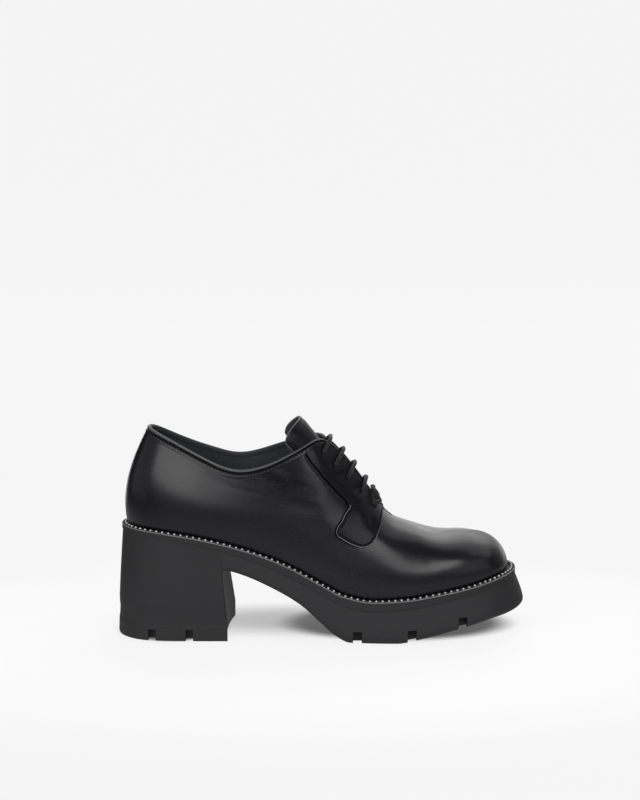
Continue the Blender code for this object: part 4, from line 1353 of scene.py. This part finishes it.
# Painted shade in the floor's glow, under the whole shoe and where heel and forefoot stand: half length and
# width, middle, metres
Shade = namedtuple("Shade", "reach_x reach_y x y core rim")
SHOE_SHADE = Shade(0.150, 0.050, 0.0, 0.016, 0.25, 1.0)
CONTACT_SHADES = (
    Shade(0.035, 0.0335, -0.094, -0.0026, 0.80, 1.06),
    Shade(0.072, 0.041, 0.048, 0.009, 0.82, 1.14),
)
# Ovals where the floor is seen as floor and where it lights the shoe
FLOOR_NEAR = Shade(1.0, 0.714, 0.0, 0.0, 0.19, 0.36)
FLOOR_LIT = Shade(1.0, 1.0, 0.0, 0.0, 0.15, 0.75)
# Bright part of the backdrop as it lights the shoe: its start behind the shoe and its two slanted sides
BACK_START = (0.25, 0.60)
BACK_LEFT, BACK_LEFT_SLANT = (-0.42, -0.32), 0.30
BACK_RIGHT, BACK_RIGHT_SLANT = (0.02, 0.25), 0.93
# Sweep in metres: half width, ends of the flat floor, bend and height of the backdrops
SWEEP_HALF = 6.0
FLOOR_FRONT, FLOOR_BACK = -6.0, 3.0
SWEEP_BEND = 1.5
SWEEP_HEIGHT = 7.0


def make_floor():
    """Pale sweep: a floor that curves up into a backdrop at both ends, with a soft shade painted into its
    glow under the shoe, over the real shadow on it.
    """
    finish = Finish("pale_floor", {"Roughness": 0.9, "Specular IOR Level": 0.1, "Emission Strength": 1.0})
    place = finish.coordinates()
    x = finish.node("ShaderNodeSeparateXYZ", {}, {0: place}, "X")
    y = finish.node("ShaderNodeSeparateXYZ", {}, {0: place}, "Y")

    def fade(shade):
        apart = finish.apart(place, (shade.x, shade.y, 0.0), (shade.reach_x, shade.reach_y, np.inf))
        return finish.step(apart, shade.core, shade.rim)

    seen = finish.node("ShaderNodeLightPath", {}, {}, "Is Camera Ray")
    back = finish.step(y, *BACK_START) * finish.step(x + BACK_LEFT_SLANT * y, *BACK_LEFT)
    back = back * (1 - finish.step(x - BACK_RIGHT_SLANT * y, *BACK_RIGHT))
    far = fade(FLOOR_NEAR)
    # Painted shade: the seen glow darkens under the shoe and where heel and forefoot stand
    near = finish.mix(fade(SHOE_SHADE), grey(SHADE_GLOW), grey(FLOOR_GLOW))
    for shade in CONTACT_SHADES:
        near = finish.mix(fade(shade), grey(CONTACT_SHADE_GLOW), near)
    glow = finish.mix(far, near, grey(BACKDROP_GLOW))
    room = finish.mix(finish.step(y, FLOOR_FRONT - 0.6, FLOOR_FRONT), grey(ROOM_LIGHT), grey(0.0))
    light = finish.mix(back, finish.mix(fade(FLOOR_LIT), grey(FLOOR_LIGHT), room), grey(BACKDROP_GLOW))
    finish.use(
        {
            "Base Color": finish.mix(far, grey(0.25), grey(0.0)),
            "Emission Color": finish.mix(seen, light, glow),
        }
    )
    mesh = bpy.data.meshes.new("floor")
    across = np.linspace(-SWEEP_HALF, SWEEP_HALF, 25)
    flat = np.linspace(FLOOR_FRONT, FLOOR_BACK, 30)
    bend = np.linspace(0.1, np.pi / 2, 10)
    run = np.append(SWEEP_BEND * np.sin(bend), SWEEP_BEND)
    lift = np.append(SWEEP_BEND - SWEEP_BEND * np.cos(bend), SWEEP_HEIGHT)
    along = np.concatenate([FLOOR_FRONT - run[::-1], flat, FLOOR_BACK + run])
    rise = np.concatenate([lift[::-1], np.zeros_like(flat), lift])
    y, x = np.meshgrid(along, across, indexing="ij")
    points = np.stack([x, y, np.repeat(rise[:, None], len(across), 1)], -1).reshape(-1, 3)
    mesh.from_pydata(points.tolist(), [], quads(len(along), len(across)).tolist())
    mesh.shade_smooth()
    mesh.materials.append(finish.material)
    floor = bpy.data.objects.new("floor", mesh)
    bpy.context.scene.collection.objects.link(floor)


def light_studio():
    """Soft studio: a low box left of the camera, a leaning oval right of it, weak boxes and a dim room."""
    world = bpy.data.worlds.new("room")
    world.use_nodes = True
    world.node_tree.nodes["Background"].inputs["Color"].default_value = (0.95, 0.95, 1.0, 1.0)
    world.node_tree.nodes["Background"].inputs["Strength"].default_value = 0.08
    bpy.context.scene.world = world
    for box in BOXES:
        softbox(box)


# Camera: its place, the point it looks at and its focal length on a 36 mm frame
CAMERA_PLACE = (-0.0008, -0.9020, 0.2524)
CAMERA_TARGET = (-0.0008, -0.0020, 0.1463)
CAMERA_LENS = 64.9


def make_camera():
    """Camera that faces the shoe's lateral side from a little above it."""
    lens = bpy.data.cameras.new("camera")
    lens.lens = CAMERA_LENS
    lens.sensor_width = 36.0
    camera = bpy.data.objects.new("camera", lens)
    camera.location = CAMERA_PLACE
    look = Vector(CAMERA_TARGET) - camera.location
    camera.rotation_euler = look.to_track_quat("-Z", "Y").to_euler()
    bpy.context.scene.collection.objects.link(camera)
    bpy.context.scene.camera = camera
    bpy.context.scene.view_settings.view_transform = "Standard"


def main():
    """Build the dressed shoe, its floor, lights and camera."""
    make_camera()
    leather, facing = upper_leather("upper_leather", 0.0), upper_leather("facing_leather", 0.75)
    lining, rubber = lining_leather(), sole_rubber()
    metal, cord = bead_metal(), lace_cord()
    thread = sewing_thread()
    # Painted shade: matte black for seam valleys and the feet of edges; painted highlights: pale finishes
    # for crests and rims
    painted_shade, painted_highlight, painted_rim_highlight = painted_shade_finish(), painted_highlight_finish("painted_highlight_finish", 0.12), painted_highlight_finish("painted_rim_highlight", 0.26)
    make_upper(leather, lining)
    make_topline_roll(leather, painted_shade, lining, painted_highlight)
    make_eyestay("eyestay_lateral", False, facing, painted_shade, painted_rim_highlight)
    make_eyestay("eyestay_medial", True, facing, painted_shade, painted_rim_highlight)
    make_tongue(facing, lining, painted_rim_highlight)
    make_lace(cord)
    sew_upper(thread)
    make_bead_chain(metal, cord)
    make_insole(lining)
    make_midsole(rubber, painted_rim_highlight)
    make_sole_unit(rubber)
    make_heel_top_piece(rubber)
    make_floor()
    light_studio()


main()
